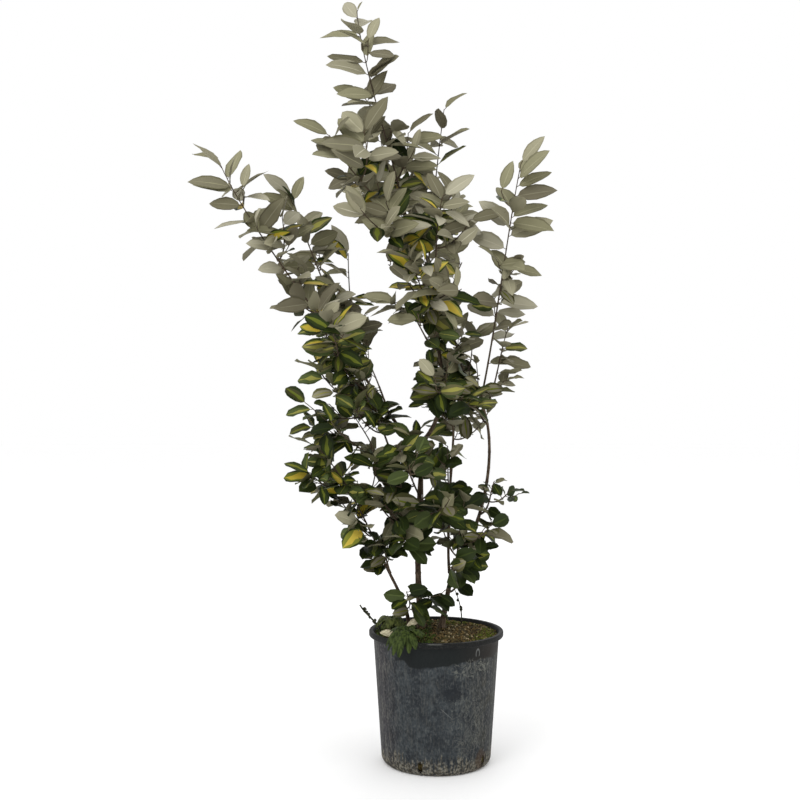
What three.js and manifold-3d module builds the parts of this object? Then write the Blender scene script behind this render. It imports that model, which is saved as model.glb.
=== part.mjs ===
// Potted variegated ebbinge silverberry, a young shrub of three stems in a black nursery pot.
// Millimetres, +Z up. The origin is the middle of the pot's flat underside, and -Y is the front.
// Every leaf is a flat eight-faced blade and every twig a three-sided tube, so the crown keeps
// its outline, its gaps and its tips with few faces.

import * as THREE from "three";
import { mergeVertices } from "three/addons/utils/BufferGeometryUtils.js";
import Module from "manifold-3d";

const wasm = await Module();
wasm.setup();

const UP = new THREE.Vector3(0, 0, 1);
const GAP = 0.3;
const SLIVER = 0.03;
const TOUCH = 1e-4;
const UPRIGHT = 0.05;

// The pot is a thin moulded cup with a straight taper, a rolled lip and drain slots low in its wall.
const POT = {
  height: 252,
  rimRadius: 130,
  neckRadius: 121.5,
  heelRadius: 106,
  footRadius: 96,
  heelHeight: 14,
  lipHeight: 10,
  lipRound: 2,
  wall: 2,
  floor: 3,
  sides: 40,
};
const DRAIN = { count: 5, firstAngle: -108, width: 9, low: 5, high: 28, reach: 24 };

// The potting soil is level round the stems and sinks a little towards the wall.
const SOIL = { top: 250, flatRadius: 72, sink: 5, clearance: 0.4, rings: 2 };

// A stem has a base on the soil, and a bough starts on another limb, `at` a share of its length.
// `leave` and `arrive` are the handles of the limb's curve, and r its radius at foot and tip.
const LIMBS = {
  stem_centre: {
    base: [-28, 30], tip: [-23, 15, 617], leave: [-12, -5, 120], arrive: [12, 0, 110], r: [6.4, 4.2],
  },
  stem_right: {
    base: [12, 30], tip: [34, 20, 366], leave: [8, 0, 40], arrive: [10, 0, 40], r: [5.2, 4.2],
  },
  stem_left: {
    base: [-52, 14], tip: [-99, -10, 381], leave: [-4, 0, 50], arrive: [-18, 0, 40], r: [3.6, 2.6],
  },
  bough_left: {
    on: "stem_centre", at: 0.95, tip: [-176, -20, 801], leave: [-45, -5, 40], arrive: [-35, -5, 55],
    r: [3.4, 2.4],
  },
  bough_centre: {
    on: "stem_centre", at: 1, tip: [-22, 20, 920], leave: [60, 0, 70], arrive: [-30, 0, 120], r: [4, 3],
  },
  bough_leader: {
    on: "bough_centre", at: 1, tip: [-60, 20, 1060], leave: [-8, 0, 50], arrive: [-22, 0, 50],
    r: [2.9, 2.4],
  },
  bough_right: {
    on: "stem_right", at: 1, tip: [88, 10, 693], leave: [60, 0, 75], arrive: [-38, 0, 85], r: [3.8, 2.5],
  },
  bough_inner: {
    on: "stem_right", at: 0.92, tip: [36, 60, 617], leave: [-5, 25, 60], arrive: [5, 5, 80],
    r: [2.8, 2.2],
  },
  bough_mid_left: {
    on: "stem_centre", at: 0.58, tip: [-89, -30, 601], leave: [-15, -25, 30], arrive: [-22, -5, 50],
    r: [2.6, 2.1],
  },
};
const LIMB = { sides: 8, step: 30, steps: 3, collar: 2, flare: 0.55, flareHeight: 14 };

// A mass is one leafy stem that starts on a limb as a bough does, with side twigs and their leaves.
// leaf is the leaf length, tipLeaf the end leaf's share of it, spacing the way along the twig from
// leaf to leaf, bare the leafless share of the stem, and reach the length of a side twig.
const MASS = { sides: 2, leaf: 84, tipLeaf: 0.85, spacing: 26, bare: 0.12, reach: 90, r: [2.2, 1.5] };
const MASSES = {
  leader_top: {
    on: "bough_leader", at: 1, tip: [-154, 10, 1454], leave: [-15, 0, 90], arrive: [-10, 0, 110],
    sides: 0, spacing: 26, leaf: 98, bare: 0.04, tipLeaf: 0.2,
  },
  leader_mid: {
    on: "bough_leader", at: 0.7, tip: [-108, 70, 1215], leave: [-10, 40, 50], arrive: [-10, 10, 60],
  },
  leader_left: {
    on: "bough_leader", at: 0.85, tip: [-203, -60, 1196], leave: [-50, -30, 30], arrive: [-30, -10, 60],
    sides: 1, spacing: 20, leaf: 94,
  },
  leader_right: {
    on: "bough_centre", at: 0.96, tip: [20, 110, 1290], leave: [0, 50, 90], arrive: [14, 10, 100],
  },
  leader_front: {
    on: "bough_centre", at: 0.88, tip: [10, -100, 1075], leave: [15, -50, 40], arrive: [20, -20, 60],
  },
  leader_back: {
    on: "bough_leader", at: 0.5, tip: [-81, 210, 1170], leave: [0, 60, 40], arrive: [0, 30, 60],
  },
  leader_low_left: {
    on: "bough_leader", at: 0.3, tip: [-139, -140, 1040], leave: [-20, -60, 30], arrive: [-30, -20, 40],
  },
  left_outer: {
    on: "bough_left", at: 1, tip: [-413, -50, 1150], leave: [-60, 0, 60], arrive: [-30, 0, 80],
    spacing: 22, leaf: 90,
  },
  left_second: {
    on: "bough_left", at: 0.86, tip: [-290, 110, 1112], leave: [-20, 60, 50], arrive: [-25, 15, 90],
    sides: 1, spacing: 19,
  },
  left_third: {
    on: "bough_left", at: 0.72, tip: [-180, 200, 1030], leave: [-30, 80, 60], arrive: [0, 20, 90],
    sides: 0, spacing: 20,
  },
  left_gold: {
    on: "bough_left", at: 0.55, tip: [-222, -90, 861], leave: [-40, -50, 10], arrive: [-20, -10, 80],
    sides: 3,
  },
  left_back: {
    on: "bough_left", at: 0.4, tip: [-160, 190, 830], leave: [-10, 60, 30], arrive: [-30, 30, 60],
  },
  left_face: {
    on: "bough_left", at: 0.28, tip: [-225, -50, 762], leave: [-30, -40, 20], arrive: [-20, 0, 60],
  },
  mid_left: {
    on: "bough_mid_left", at: 1, tip: [-145, -60, 745], leave: [-20, -10, 60], arrive: [-20, 0, 60],
    sides: 3,
  },
  mid_left_out: {
    on: "bough_mid_left", at: 0.85, tip: [-248, -40, 690], leave: [-50, 10, 0], arrive: [-50, -10, 40],
    sides: 3,
  },
  low_left: {
    on: "stem_left", at: 1, tip: [-226, -110, 614], leave: [-35, -30, 85], arrive: [-50, -20, 50],
    sides: 4, leaf: 88, bare: 0.25,
  },
  low_left_hang: {
    on: "stem_left", at: 0.85, tip: [-106, -40, 424], leave: [-10, -25, 20], arrive: [-6, -10, -8],
    sides: 1, leaf: 72, reach: 60,
  },
  mid_front: {
    on: "stem_centre", at: 0.72, tip: [-80, -130, 624], leave: [-10, -50, 20], arrive: [-20, -30, 40],
    sides: 3,
  },
  foot_left: {
    on: "stem_centre", at: 0.38, tip: [-98, -90, 502], leave: [-15, -40, 20], arrive: [-30, -20, 30],
    sides: 3,
  },
  foot_front: {
    on: "stem_centre", at: 0.5, tip: [-28, -110, 560], leave: [10, -50, 20], arrive: [0, -20, 50],
  },
  foot_right: {
    on: "stem_right", at: 0.78, tip: [50, -80, 505], leave: [15, -40, 30], arrive: [10, -20, 40], sides: 3,
  },
  foot_back: {
    on: "stem_centre", at: 0.45, tip: [-70, 170, 560], leave: [-10, 50, 30], arrive: [-10, 30, 50],
    sides: 3,
  },
  right_low: {
    on: "bough_right", at: 0.35, tip: [112, -30, 545], leave: [20, -20, 10], arrive: [10, -5, 20],
    sides: 1, leaf: 50, reach: 60,
  },
  right_hang: {
    on: "stem_right", at: 0.62, tip: [60, -40, 398], leave: [25, -20, 10], arrive: [15, -10, -5],
    sides: 1, leaf: 74, reach: 60,
  },
  right_inner: {
    on: "bough_right", at: 0.88, tip: [32, 30, 845], leave: [-20, 10, 30], arrive: [-15, 5, 80], sides: 3,
  },
  right_tall: {
    on: "bough_right", at: 1, tip: [154, -100, 1135], leave: [24, -20, 110], arrive: [20, -20, 100],
    sides: 0, spacing: 25, leaf: 98, tipLeaf: 0.6,
  },
  inner_low: {
    on: "bough_inner", at: 1, tip: [31, 90, 758], leave: [0, 5, 60], arrive: [-5, 10, 60], sides: 3,
  },
  inner_front: {
    on: "bough_inner", at: 0.4, tip: [20, -60, 610], leave: [0, -40, 40], arrive: [0, -10, 60], sides: 3,
  },
  inner_back: {
    on: "bough_inner", at: 0.7, tip: [55, 200, 840], leave: [10, 50, 60], arrive: [10, 30, 90], sides: 3,
  },
  centre_low_front: {
    on: "bough_centre", at: 0.3, tip: [-5, -110, 738], leave: [15, -40, 40], arrive: [0, -20, 60], sides: 3,
  },
  centre_front: {
    on: "bough_centre", at: 0.75, tip: [-50, -150, 950], leave: [-10, -60, 20], arrive: [-20, -40, 50],
  },
  centre_right: {
    on: "bough_centre", at: 0.82, tip: [60, 90, 985], leave: [30, 20, 20], arrive: [25, 10, 50],
  },
  foot_sprout: {
    on: "stem_centre", at: 0.1, tip: [-6, -40, 358], leave: [8, -18, 12], arrive: [5, -5, 30],
    sides: 0, leaf: 74, r: [1.6, 1.2],
  },
  foot_low: {
    on: "stem_left", at: 0.3, tip: [-56, -50, 333], leave: [18, -20, 5], arrive: [8, -8, -6],
    sides: 0, leaf: 76, r: [1.6, 1.2],
  },
  right_out: {
    on: "bough_right", at: 0.96, tip: [138, -10, 835], leave: [20, 0, 40], arrive: [18, 0, 60],
    sides: 0, leaf: 80, bare: 0.5, spacing: 22,
  },
  centre_hang: {
    on: "bough_centre", at: 0.6, tip: [-76, -70, 880], leave: [-20, -40, -10], arrive: [-30, -10, -10],
    sides: 2, reach: 60, bare: 0.2,
  },
};

// A side twig starts at a share of its stem that lies in `from`. Its tip lies ahead, out and up from
// its root by these shares of its reach, and its leaves have `leaf` of the size of the stem's.
const TWIG = {
  sides: 3, step: 42, steps: 2, from: [0.15, 0.65], along: [0.1, 0.9], swing: 20, reach: [0.75, 1.2],
  taper: 0.75, ahead: 0.62, out: 0.78, up: 0.12, flat: 0.7, bend: [0.5, 0.3, 0.3],
  handles: [0.35, 0.3], bare: 0.2, leaf: 0.92,
};

// Each leaf is a golden turn round its twig from the last. It leans out from the twig, less so at
// the tip, droops or rises, and turns its face to the light, which comes from the front and above.
// Leaves are smaller near the foot of a twig and at its end. Angles are in degrees.
const LEAVES = {
  goldenTurn: 137.5, swing: 14, along: [0.3, 0.7], least: 2, flatRise: 0.4, lean: [74, 34],
  leanPower: 5, droop: [-0.1, 0.3], level: 0.75, forward: 0.4, roll: 55, length: [0.84, 1.14],
  width: [0.48, 0.62], curl: [0.04, 0.14], footSize: 0.8, footShare: 0.3, tipShare: 0.75,
  tipShrink: 0.25, endTurn: 2,
};
const LIGHT = [0, -0.6, 0.8];
const LEAF = {
  thickness: 1, widest: 0.47, sink: 0.3, rootHeight: 1, probe: 0.8,
  spots: [[0.25, 0], [0.5, 0], [0.78, 0], [1, 0], [0.45, 0.3], [0.45, -0.3]],
};
const SEED = { first: 1000, step: 37, modulus: 2147483647, factor: 48271, thrownAway: 3 };

// The gaps of the crown that show sky from the front. Each is an ellipse on the upright plane
// through the pot's axis: its middle x and z, its half-width and its half-height, seen from EYE.
const EYE = [-70, -2120, 697];
const SKY = [
  [-84, 771, 37, 74], [-47, 817, 31, 31], [74, 945, 27, 58], [99, 1128, 21, 50], [99, 771, 18, 46],
  [147, 655, 39, 39], [163, 610, 54, 74], [74, 580, 19, 47], [-412, 992, 42, 30], [-338, 907, 42, 27],
  [-258, 410, 74, 87], [-136, 946, 33, 48], [-152, 1002, 23, 27], [-51, 1264, 46, 25],
];
const TWIG_SPOTS = [0.4, 0.7, 1];

// The weeds in the pot: two tufts of strap leaves, one of them hanging over the rim, and a dry stalk.
const TUFTS = {
  weed_rosette: {
    at: [-62, -92], outward: [-0.56, -0.83], blades: 7, reach: [36, 58], rise: 30, width: 11, drop: 16,
  },
  weed_patch: {
    at: [-84, -22], outward: [-0.9, -0.4], blades: 5, reach: [26, 36], rise: 34, width: 13, drop: -6,
  },
};
const BLADE = {
  sides: 3, thickness: 2.4, steps: 3, turnSwing: 0.3, reach: [0.85, 1.1], rootHandle: [0.12, 0.9],
  tipHandle: 0.75, endRise: 0.5, narrow: 0.35, rootShare: 0.05,
};
const STUB = { radius: 5, height: 9, sides: 8, crown: 0.6 };
const STALK = {
  at: [-108, -20], tip: [-147, -20, 303], leave: [-3, 0, 22], arrive: [-12, 0, 22], r: [1.5, 1],
  sides: 6,
};

const FINISH = {
  plastic: { color: 0x3f4244, roughness: 0.6 },
  soil: { color: 0x413c29, roughness: 1 },
  bark: { color: 0x5c5143, roughness: 0.85 },
  leaf: { color: 0x6f7459, roughness: 0.6 },
  weed: { color: 0x404529, roughness: 0.7 },
};

const vec = (list) => new THREE.Vector3(...list);
const mix = (low, high, share) => low + (high - low) * share;
const radians = (degrees) => (degrees * Math.PI) / 180;

// A seeded stream of numbers: draw() is between 0 and 1, and draw(a, b) between a and b.
function makeDraw(seed) {
  let state = seed;
  const draw = (low = 0, high = 1) => {
    state = (state * SEED.factor) % SEED.modulus;
    return mix(low, high, state / SEED.modulus);
  };
  for (let i = 0; i < SEED.thrownAway; i += 1) draw();
  return draw;
}

// A closed three.js geometry as a solid, with shared corners merged and empty faces left out.
function toSolid(geometry) {
  const bare = geometry.clone();
  bare.deleteAttribute("normal");
  bare.deleteAttribute("uv");
  const merged = mergeVertices(bare, TOUCH);
  const index = merged.index.array;
  const triangles = [];
  for (let i = 0; i < index.length; i += 3) {
    const [a, b, c] = [index[i], index[i + 1], index[i + 2]];
    if (a !== b && b !== c && c !== a) triangles.push(a, b, c);
  }
  const mesh = new wasm.Mesh({
    numProp: 3,
    vertProperties: new Float32Array(merged.attributes.position.array),
    triVerts: new Uint32Array(triangles),
  });
  return new wasm.Manifold(mesh);
}

// The largest piece of a solid, without loose scraps, sealed hollows and slivers.
function mainBody(solid) {
  const bodies = solid.simplify(SLIVER).decompose();
  return bodies.reduce((largest, body) => (body.volume() > largest.volume() ? body : largest));
}

function toGeometry(solid) {
  const mesh = solid.getMesh();
  const geometry = new THREE.BufferGeometry();
  geometry.setAttribute("position", new THREE.BufferAttribute(mesh.vertProperties, 3));
  geometry.setIndex(new THREE.BufferAttribute(mesh.triVerts, 1));
  geometry.computeVertexNormals();
  return geometry;
}

// Points on a curve from start to tip, with a short straight collar along `out` at the start.
function growPath(start, out, spec, step) {
  const root = start.clone().addScaledVector(out, LIMB.collar);
  const tip = vec(spec.tip);
  const curve = new THREE.CubicBezierCurve3(
    root,
    root.clone().add(vec(spec.leave)),
    tip.clone().sub(vec(spec.arrive)),
    tip,
  );
  const steps = Math.max(LIMB.steps, Math.round(root.distanceTo(tip) / step));
  return [start, ...Array.from({ length: steps + 1 }, (_, i) => curve.getPoint(i / steps))];
}

function pathLength(points) {
  return points.slice(1).reduce((sum, point, i) => sum + point.distanceTo(points[i]), 0);
}

// The point and the direction at a share of a path's length.
function along(points, share) {
  let left = share * pathLength(points);
  for (let i = 1; i < points.length; i += 1) {
    const length = points[i].distanceTo(points[i - 1]);
    if (left <= length || i === points.length - 1) {
      const tangent = points[i].clone().sub(points[i - 1]).normalize();
      return { point: points[i - 1].clone().lerp(points[i], left / length), tangent };
    }
    left -= length;
  }
  return null;
}

// A closed tube along points: a cylinder whose rings are carried to the points without twist.
// across and through give the two half-widths of its section at a share of its length.
function tubeAlong(points, sides, across, through, firstSide) {
  const rings = points.length - 1;
  const geometry = new THREE.CylinderGeometry(1, 1, 1, sides, rings);
  const frames = [];
  let side = firstSide;
  points.forEach((point, i) => {
    const before = i > 0 ? point.clone().sub(points[i - 1]).normalize() : new THREE.Vector3();
    const after = i < rings ? points[i + 1].clone().sub(point).normalize() : new THREE.Vector3();
    const tangent = before.add(after).normalize();
    side = side.clone().addScaledVector(tangent, -side.dot(tangent)).normalize();
    frames.push({ point, side, face: side.clone().cross(tangent) });
  });
  const position = geometry.attributes.position;
  for (let i = 0; i < position.count; i += 1) {
    const ring = Math.round((position.getY(i) + 0.5) * rings);
    const { point, side: sideways, face } = frames[ring];
    const place = point.clone()
      .addScaledVector(sideways, position.getX(i) * across(ring / rings))
      .addScaledVector(face, position.getZ(i) * through(ring / rings));
    position.setXYZ(i, place.x, place.y, place.z);
  }
  return toSolid(geometry);
}

function roundTube(points, sides, radiusAt) {
  const { tangent } = along(points, 0);
  return tubeAlong(points, sides, radiusAt, radiusAt, sideways(tangent));
}

// A level direction square to a tangent, or +X where the tangent is upright.
function sideways(tangent) {
  const side = tangent.clone().cross(UP);
  return side.length() > UPRIGHT ? side.normalize() : new THREE.Vector3(1, 0, 0);
}

function outerRadius(z) {
  const share = (z - POT.heelHeight) / (POT.height - POT.lipHeight - POT.heelHeight);
  return mix(POT.heelRadius, POT.neckRadius, share);
}

function soilHeight(radius) {
  const share = Math.max(0, radius - SOIL.flatRadius) / (POT.neckRadius - POT.wall - SOIL.flatRadius);
  return SOIL.top - SOIL.sink * share ** 2;
}

// Where a foot of some radius rests, clear of the soil's slope.
function footOn([x, y], radius) {
  return new THREE.Vector3(x, y, soilHeight(Math.hypot(x, y) - radius) + GAP);
}

function lathe(profile) {
  const points = profile.map(([r, z]) => new THREE.Vector2(r, z));
  return toSolid(new THREE.LatheGeometry(points, POT.sides).rotateX(Math.PI / 2));
}

// The rounded heel between the flat foot and the straight wall, moved in by `inset`.
function heel(inset) {
  const width = POT.heelRadius - POT.footRadius;
  return [0, 30, 60, 90].map((degrees) => {
    const angle = radians(degrees);
    return [
      POT.footRadius + width * Math.sin(angle) - inset,
      Math.max(inset, POT.heelHeight * (1 - Math.cos(angle))),
    ];
  });
}

function makePot() {
  const neck = POT.height - POT.lipHeight;
  const outer = [
    [0, 0],
    ...heel(0),
    [outerRadius(neck), neck],
    [POT.rimRadius - POT.lipRound, neck],
    [POT.rimRadius, neck + POT.lipRound],
    [POT.rimRadius, POT.height - POT.lipRound],
    [POT.rimRadius - POT.lipRound, POT.height],
    [POT.neckRadius, POT.height],
  ];
  const inner = [
    [outerRadius(neck) - POT.wall, neck],
    [POT.heelRadius - POT.wall, POT.heelHeight],
    [POT.footRadius - POT.wall, POT.floor],
    [0, POT.floor],
  ];
  let pot = lathe([...outer, ...inner]);
  for (let i = 0; i < DRAIN.count; i += 1) {
    const slot = new THREE.BoxGeometry(DRAIN.reach, DRAIN.width, DRAIN.high - DRAIN.low)
      .translate(POT.heelRadius, 0, (DRAIN.low + DRAIN.high) / 2)
      .rotateZ(radians(DRAIN.firstAngle + (360 / DRAIN.count) * i));
    pot = pot.subtract(toSolid(slot));
  }
  return pot;
}

function makeSoil() {
  const clearance = POT.wall + SOIL.clearance;
  const wallTop = outerRadius(SOIL.top - SOIL.sink) - clearance;
  const surface = Array.from({ length: SOIL.rings + 1 }, (_, i) => {
    const radius = mix(wallTop, SOIL.flatRadius, i / SOIL.rings);
    return [radius, soilHeight(radius)];
  });
  return lathe([
    [0, POT.floor + GAP],
    [POT.footRadius - clearance, POT.floor + GAP],
    [POT.heelRadius - clearance, POT.heelHeight],
    ...surface,
    [0, SOIL.top],
  ]);
}

// Where a limb or mass starts: on the soil, on the tip of its parent, or on its parent's side.
function startOf(spec, limbs) {
  if (spec.base) return { start: new THREE.Vector3(...spec.base, SOIL.top + GAP), out: UP.clone() };
  const parent = limbs[spec.on];
  const { point, tangent } = along(parent.points, spec.at);
  if (spec.at === 1) return { start: point.addScaledVector(tangent, GAP), out: tangent };
  const out = vec(spec.tip).sub(point);
  out.addScaledVector(tangent, -out.dot(tangent)).normalize();
  const radius = mix(...parent.r, spec.at);
  return { start: point.addScaledVector(out, radius + GAP), out };
}

function makeLimb(spec, limbs) {
  const { start, out } = startOf(spec, limbs);
  const points = growPath(start, out, spec, LIMB.step);
  const flare = spec.base ? LIMB.flare : 0;
  const length = pathLength(points);
  const radiusAt = (share) => {
    const taper = mix(...spec.r, share);
    return taper * (1 + flare * Math.exp((-share * length) / LIMB.flareHeight));
  };
  return { points, r: spec.r, solid: roundTube(points, LIMB.sides, radiusAt) };
}

// Where a point shows on the plane of the gaps, and whether any point shows in one of them.
function seen(point) {
  const [x, y, z] = EYE;
  const share = -y / (point.y - y);
  return [mix(x, point.x, share), mix(z, point.z, share)];
}

function inSky(points) {
  return points.map(seen).some(([x, z]) => SKY.some(([midX, midZ, halfWidth, halfHeight]) => (
    ((x - midX) / halfWidth) ** 2 + ((z - midZ) / halfHeight) ** 2 < 1
  )));
}

// One leaf of the plan: its root on the twig, its direction, its face and its size.
function planLeaf(draw, { point, tangent }, phi, share, size) {
  const side = sideways(tangent);
  const top = side.clone().cross(tangent);
  const rise = mix(LEAVES.flatRise, 1, tangent.z ** 2);
  const radial = side.clone().multiplyScalar(Math.cos(phi))
    .addScaledVector(top, Math.sin(phi) * rise)
    .normalize();
  const lean = mix(...LEAVES.lean, share ** LEAVES.leanPower);
  const angle = radians(lean + draw(-LEAVES.swing, LEAVES.swing));
  const direction = tangent.clone().multiplyScalar(Math.cos(angle))
    .addScaledVector(radial, Math.sin(angle))
    .addScaledVector(UP, -draw(...LEAVES.droop));
  direction.z *= LEAVES.level;
  direction.normalize();
  const face = vec(LIGHT).addScaledVector(tangent, LEAVES.forward);
  face.addScaledVector(direction, -face.dot(direction)).normalize();
  const normal = face.applyAxisAngle(direction, radians(draw(-LEAVES.roll, LEAVES.roll)));
  const length = size * draw(...LEAVES.length);
  const width = length * draw(...LEAVES.width);
  const curl = draw(...LEAVES.curl);
  return { point, direction, normal, length, width, curl };
}

function leafSize(share) {
  const foot = mix(LEAVES.footSize, 1, Math.min(1, share / LEAVES.footShare));
  const end = Math.max(0, (share - LEAVES.tipShare) / (1 - LEAVES.tipShare));
  return foot * (1 - LEAVES.tipShrink * end ** 2);
}

// The leaves of one twig, and one at its tip.
function planLeaves(draw, points, bare, { spacing, tipLeaf }, size) {
  const total = pathLength(points);
  const count = Math.max(LEAVES.least, Math.floor((total - bare) / spacing));
  const leaves = [];
  let phi = draw(0, 2 * Math.PI);
  for (let k = 0; k < count; k += 1) {
    const share = (bare + ((k + draw(...LEAVES.along)) * (total - bare)) / count) / total;
    phi += radians(LEAVES.goldenTurn + draw(-LEAVES.swing, LEAVES.swing));
    leaves.push(planLeaf(draw, along(points, share), phi, share, size * leafSize(share)));
  }
  leaves.push(planLeaf(draw, along(points, 1), phi + LEAVES.endTurn, 1, size * tipLeaf));
  return leaves;
}

// A side twig of a mass: its path, and the leaves on it.
function planSideTwig(draw, stem, mass, j, phi) {
  const share = mix(...TWIG.from, (j + draw(...TWIG.along)) / mass.sides);
  const { point, tangent } = along(stem, share);
  const turn = phi + radians(LEAVES.goldenTurn + draw(-TWIG.swing, TWIG.swing));
  const side = sideways(tangent);
  const top = side.clone().cross(tangent);
  const radial = side.multiplyScalar(Math.cos(turn)).addScaledVector(top, Math.sin(turn) * TWIG.flat);
  const reach = mass.reach * draw(...TWIG.reach);
  const reached = (forward, out, up) => tangent.clone().multiplyScalar(forward)
    .addScaledVector(radial, out)
    .addScaledVector(UP, up)
    .multiplyScalar(reach);
  const tip = point.clone().add(reached(TWIG.ahead, TWIG.out, TWIG.up));
  const [leave, arrive] = TWIG.handles;
  const curve = new THREE.CubicBezierCurve3(
    point,
    point.clone().addScaledVector(radial, leave * reach),
    tip.clone().addScaledVector(reached(...TWIG.bend), -arrive),
    tip,
  );
  const steps = Math.max(TWIG.steps, Math.round(point.distanceTo(tip) / TWIG.step));
  const points = curve.getPoints(steps);
  const leaves = planLeaves(draw, points, TWIG.bare * reach, mass, mass.leaf * TWIG.leaf);
  return { points, r: [mass.r[0] * TWIG.taper, mass.r[1]], leaves, turn };
}

// The stem of a mass and its side twigs, without those that would cross a gap of the crown.
function planMass(spec, limbs, seed) {
  const mass = { ...MASS, ...spec };
  const draw = makeDraw(seed);
  const { start, out } = startOf(mass, limbs);
  const stem = growPath(start, out, mass, TWIG.step);
  const leaves = planLeaves(draw, stem, mass.bare * pathLength(stem), mass, mass.leaf);
  const twigs = [{ points: stem, r: mass.r, leaves }];
  let phi = draw(0, 2 * Math.PI);
  for (let j = 0; j < mass.sides; j += 1) {
    const twig = planSideTwig(draw, stem, mass, j, phi);
    phi = twig.turn;
    if (!inSky(TWIG_SPOTS.map((share) => along(twig.points, share).point))) twigs.push(twig);
  }
  return twigs;
}

function twigSolid(twig, extra = 0) {
  return roundTube(twig.points, TWIG.sides, (share) => mix(...twig.r, share) + extra);
}

// A leaf is an octahedron drawn out flat. Two of its corners make the upright edge of the root,
// inside the twig, two the sides, one the tip, and one the ridge over the widest place.
function leafSolid(leaf, extra = 0) {
  const geometry = new THREE.OctahedronGeometry(1);
  const side = leaf.direction.clone().cross(leaf.normal);
  const position = geometry.attributes.position;
  for (let i = 0; i < position.count; i += 1) {
    const [x, y, z] = [position.getX(i), position.getY(i), position.getZ(i)];
    const isRoot = y < -0.5 || z < -0.5;
    const share = y > 0.5 ? 1 : LEAF.widest;
    const out = isRoot ? -LEAF.sink : share * leaf.length + extra * Math.max(0, y);
    const drop = isRoot ? 0 : leaf.curl * leaf.length * share ** 2;
    const lift = isRoot ? Math.sign(z - y) * (LEAF.rootHeight / 2) : z * (LEAF.thickness + extra);
    const place = leaf.point.clone()
      .addScaledVector(leaf.direction, out)
      .addScaledVector(side, x * (leaf.width / 2 + extra))
      .addScaledVector(leaf.normal, lift - drop);
    position.setXYZ(i, place.x, place.y, place.z);
  }
  return toSolid(geometry);
}

// A few spots spread over a leaf's blade.
function spotsOf(leaf) {
  const side = leaf.direction.clone().cross(leaf.normal);
  return LEAF.spots.map(([out, across]) => leaf.point.clone()
    .addScaledVector(leaf.direction, out * leaf.length)
    .addScaledVector(side, across * leaf.width)
    .addScaledVector(leaf.normal, -leaf.curl * leaf.length * out ** 2));
}

// Everything that stands already, with its box, so that what grows next can be kept clear of it.
const standing = [];

function boxOf(solid) {
  const { min, max } = solid.boundingBox();
  return new THREE.Box3(vec(min), vec(max));
}

function stand(owner, solid) {
  standing.push({ owner, solid, box: boxOf(solid) });
}

// Whether a probe touches nothing that stands, apart from what it may touch.
function isClear(probe, mayTouch) {
  const box = boxOf(probe);
  return standing.every((other) => (
    mayTouch(other) || !other.box.intersectsBox(box) || probe.intersect(other.solid).isEmpty()
  ));
}

// The leaves of a mass that find room, fused with its twigs into one body. A leaf keeps clear of
// every other leaf, of every twig but its own, and of the gaps of the crown.
function fuseMass(twigs) {
  const pieces = [];
  for (const twig of twigs) {
    pieces.push(twig.solid);
    for (const leaf of twig.leaves) {
      if (inSky(spotsOf(leaf))) continue;
      if (!isClear(leafSolid(leaf, LEAF.probe), ({ solid }) => solid === twig.solid)) continue;
      const blade = leafSolid(leaf);
      stand("leaf", blade);
      pieces.push(blade);
    }
  }
  return mainBody(wasm.Manifold.union(pieces));
}

// One strap leaf of a weed: it rises from the crown and arches over to its tip.
function weedBlade(draw, tuft, crown, index) {
  const facing = Math.atan2(tuft.outward[1], tuft.outward[0]);
  const swing = draw(-BLADE.turnSwing, BLADE.turnSwing);
  const turn = facing + (2 * Math.PI * (index + swing)) / tuft.blades;
  const away = new THREE.Vector3(Math.cos(turn), Math.sin(turn), 0);
  const overRim = (1 + Math.cos(turn - facing)) / 2;
  const reach = mix(...tuft.reach, overRim) * draw(...BLADE.reach);
  const place = (out, up) => crown.clone().addScaledVector(away, out * reach).addScaledVector(UP, up);
  const [rootOut, rootUp] = BLADE.rootHandle;
  const curve = new THREE.CubicBezierCurve3(
    crown,
    place(rootOut, tuft.rise * rootUp),
    place(BLADE.tipHandle, tuft.rise),
    place(1, mix(tuft.rise * BLADE.endRise, -tuft.drop, overRim)),
  );
  const across = (share) => {
    const swell = Math.sin(Math.PI * Math.min(1, share + BLADE.rootShare));
    return (tuft.width / 2) * mix(BLADE.narrow, 1, swell);
  };
  const side = away.clone().cross(UP);
  const points = curve.getPoints(BLADE.steps);
  return tubeAlong(points, BLADE.sides, across, () => BLADE.thickness / 2, side);
}

function makeTuft(name, tuft, seed) {
  const draw = makeDraw(seed);
  const foot = footOn(tuft.at, STUB.radius);
  const stub = roundTube(
    [foot, foot.clone().addScaledVector(UP, STUB.height)],
    STUB.sides,
    () => STUB.radius,
  );
  const crown = foot.clone().addScaledVector(UP, STUB.height * STUB.crown);
  const pieces = [stub];
  for (let i = 0; i < tuft.blades; i += 1) {
    const blade = weedBlade(draw, tuft, crown, i);
    if (isClear(blade, ({ owner }) => owner === name)) pieces.push(blade);
  }
  pieces.forEach((piece) => stand(name, piece));
  return mainBody(wasm.Manifold.union(pieces));
}

function makeStalk() {
  const points = growPath(footOn(STALK.at, STALK.r[0]), UP, STALK, LIMB.step);
  return roundTube(points, STALK.sides, (share) => mix(...STALK.r, share));
}

const plant = new THREE.Group();
plant.name = "potted_silverberry";

function addNode(name, solid, finish) {
  const material = new THREE.MeshStandardMaterial({ ...FINISH[finish], metalness: 0, name: finish });
  const mesh = new THREE.Mesh(toGeometry(solid), material);
  mesh.name = name;
  plant.add(mesh);
}

const pot = makePot();
const soil = makeSoil();
stand("pot", pot);
stand("soil", soil);
addNode("pot", pot, "plastic");
addNode("soil", soil, "soil");

const limbs = {};
for (const [name, spec] of Object.entries(LIMBS)) {
  limbs[name] = makeLimb(spec, limbs);
  stand(name, limbs[name].solid);
  addNode(name, limbs[name].solid, "bark");
}

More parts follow.
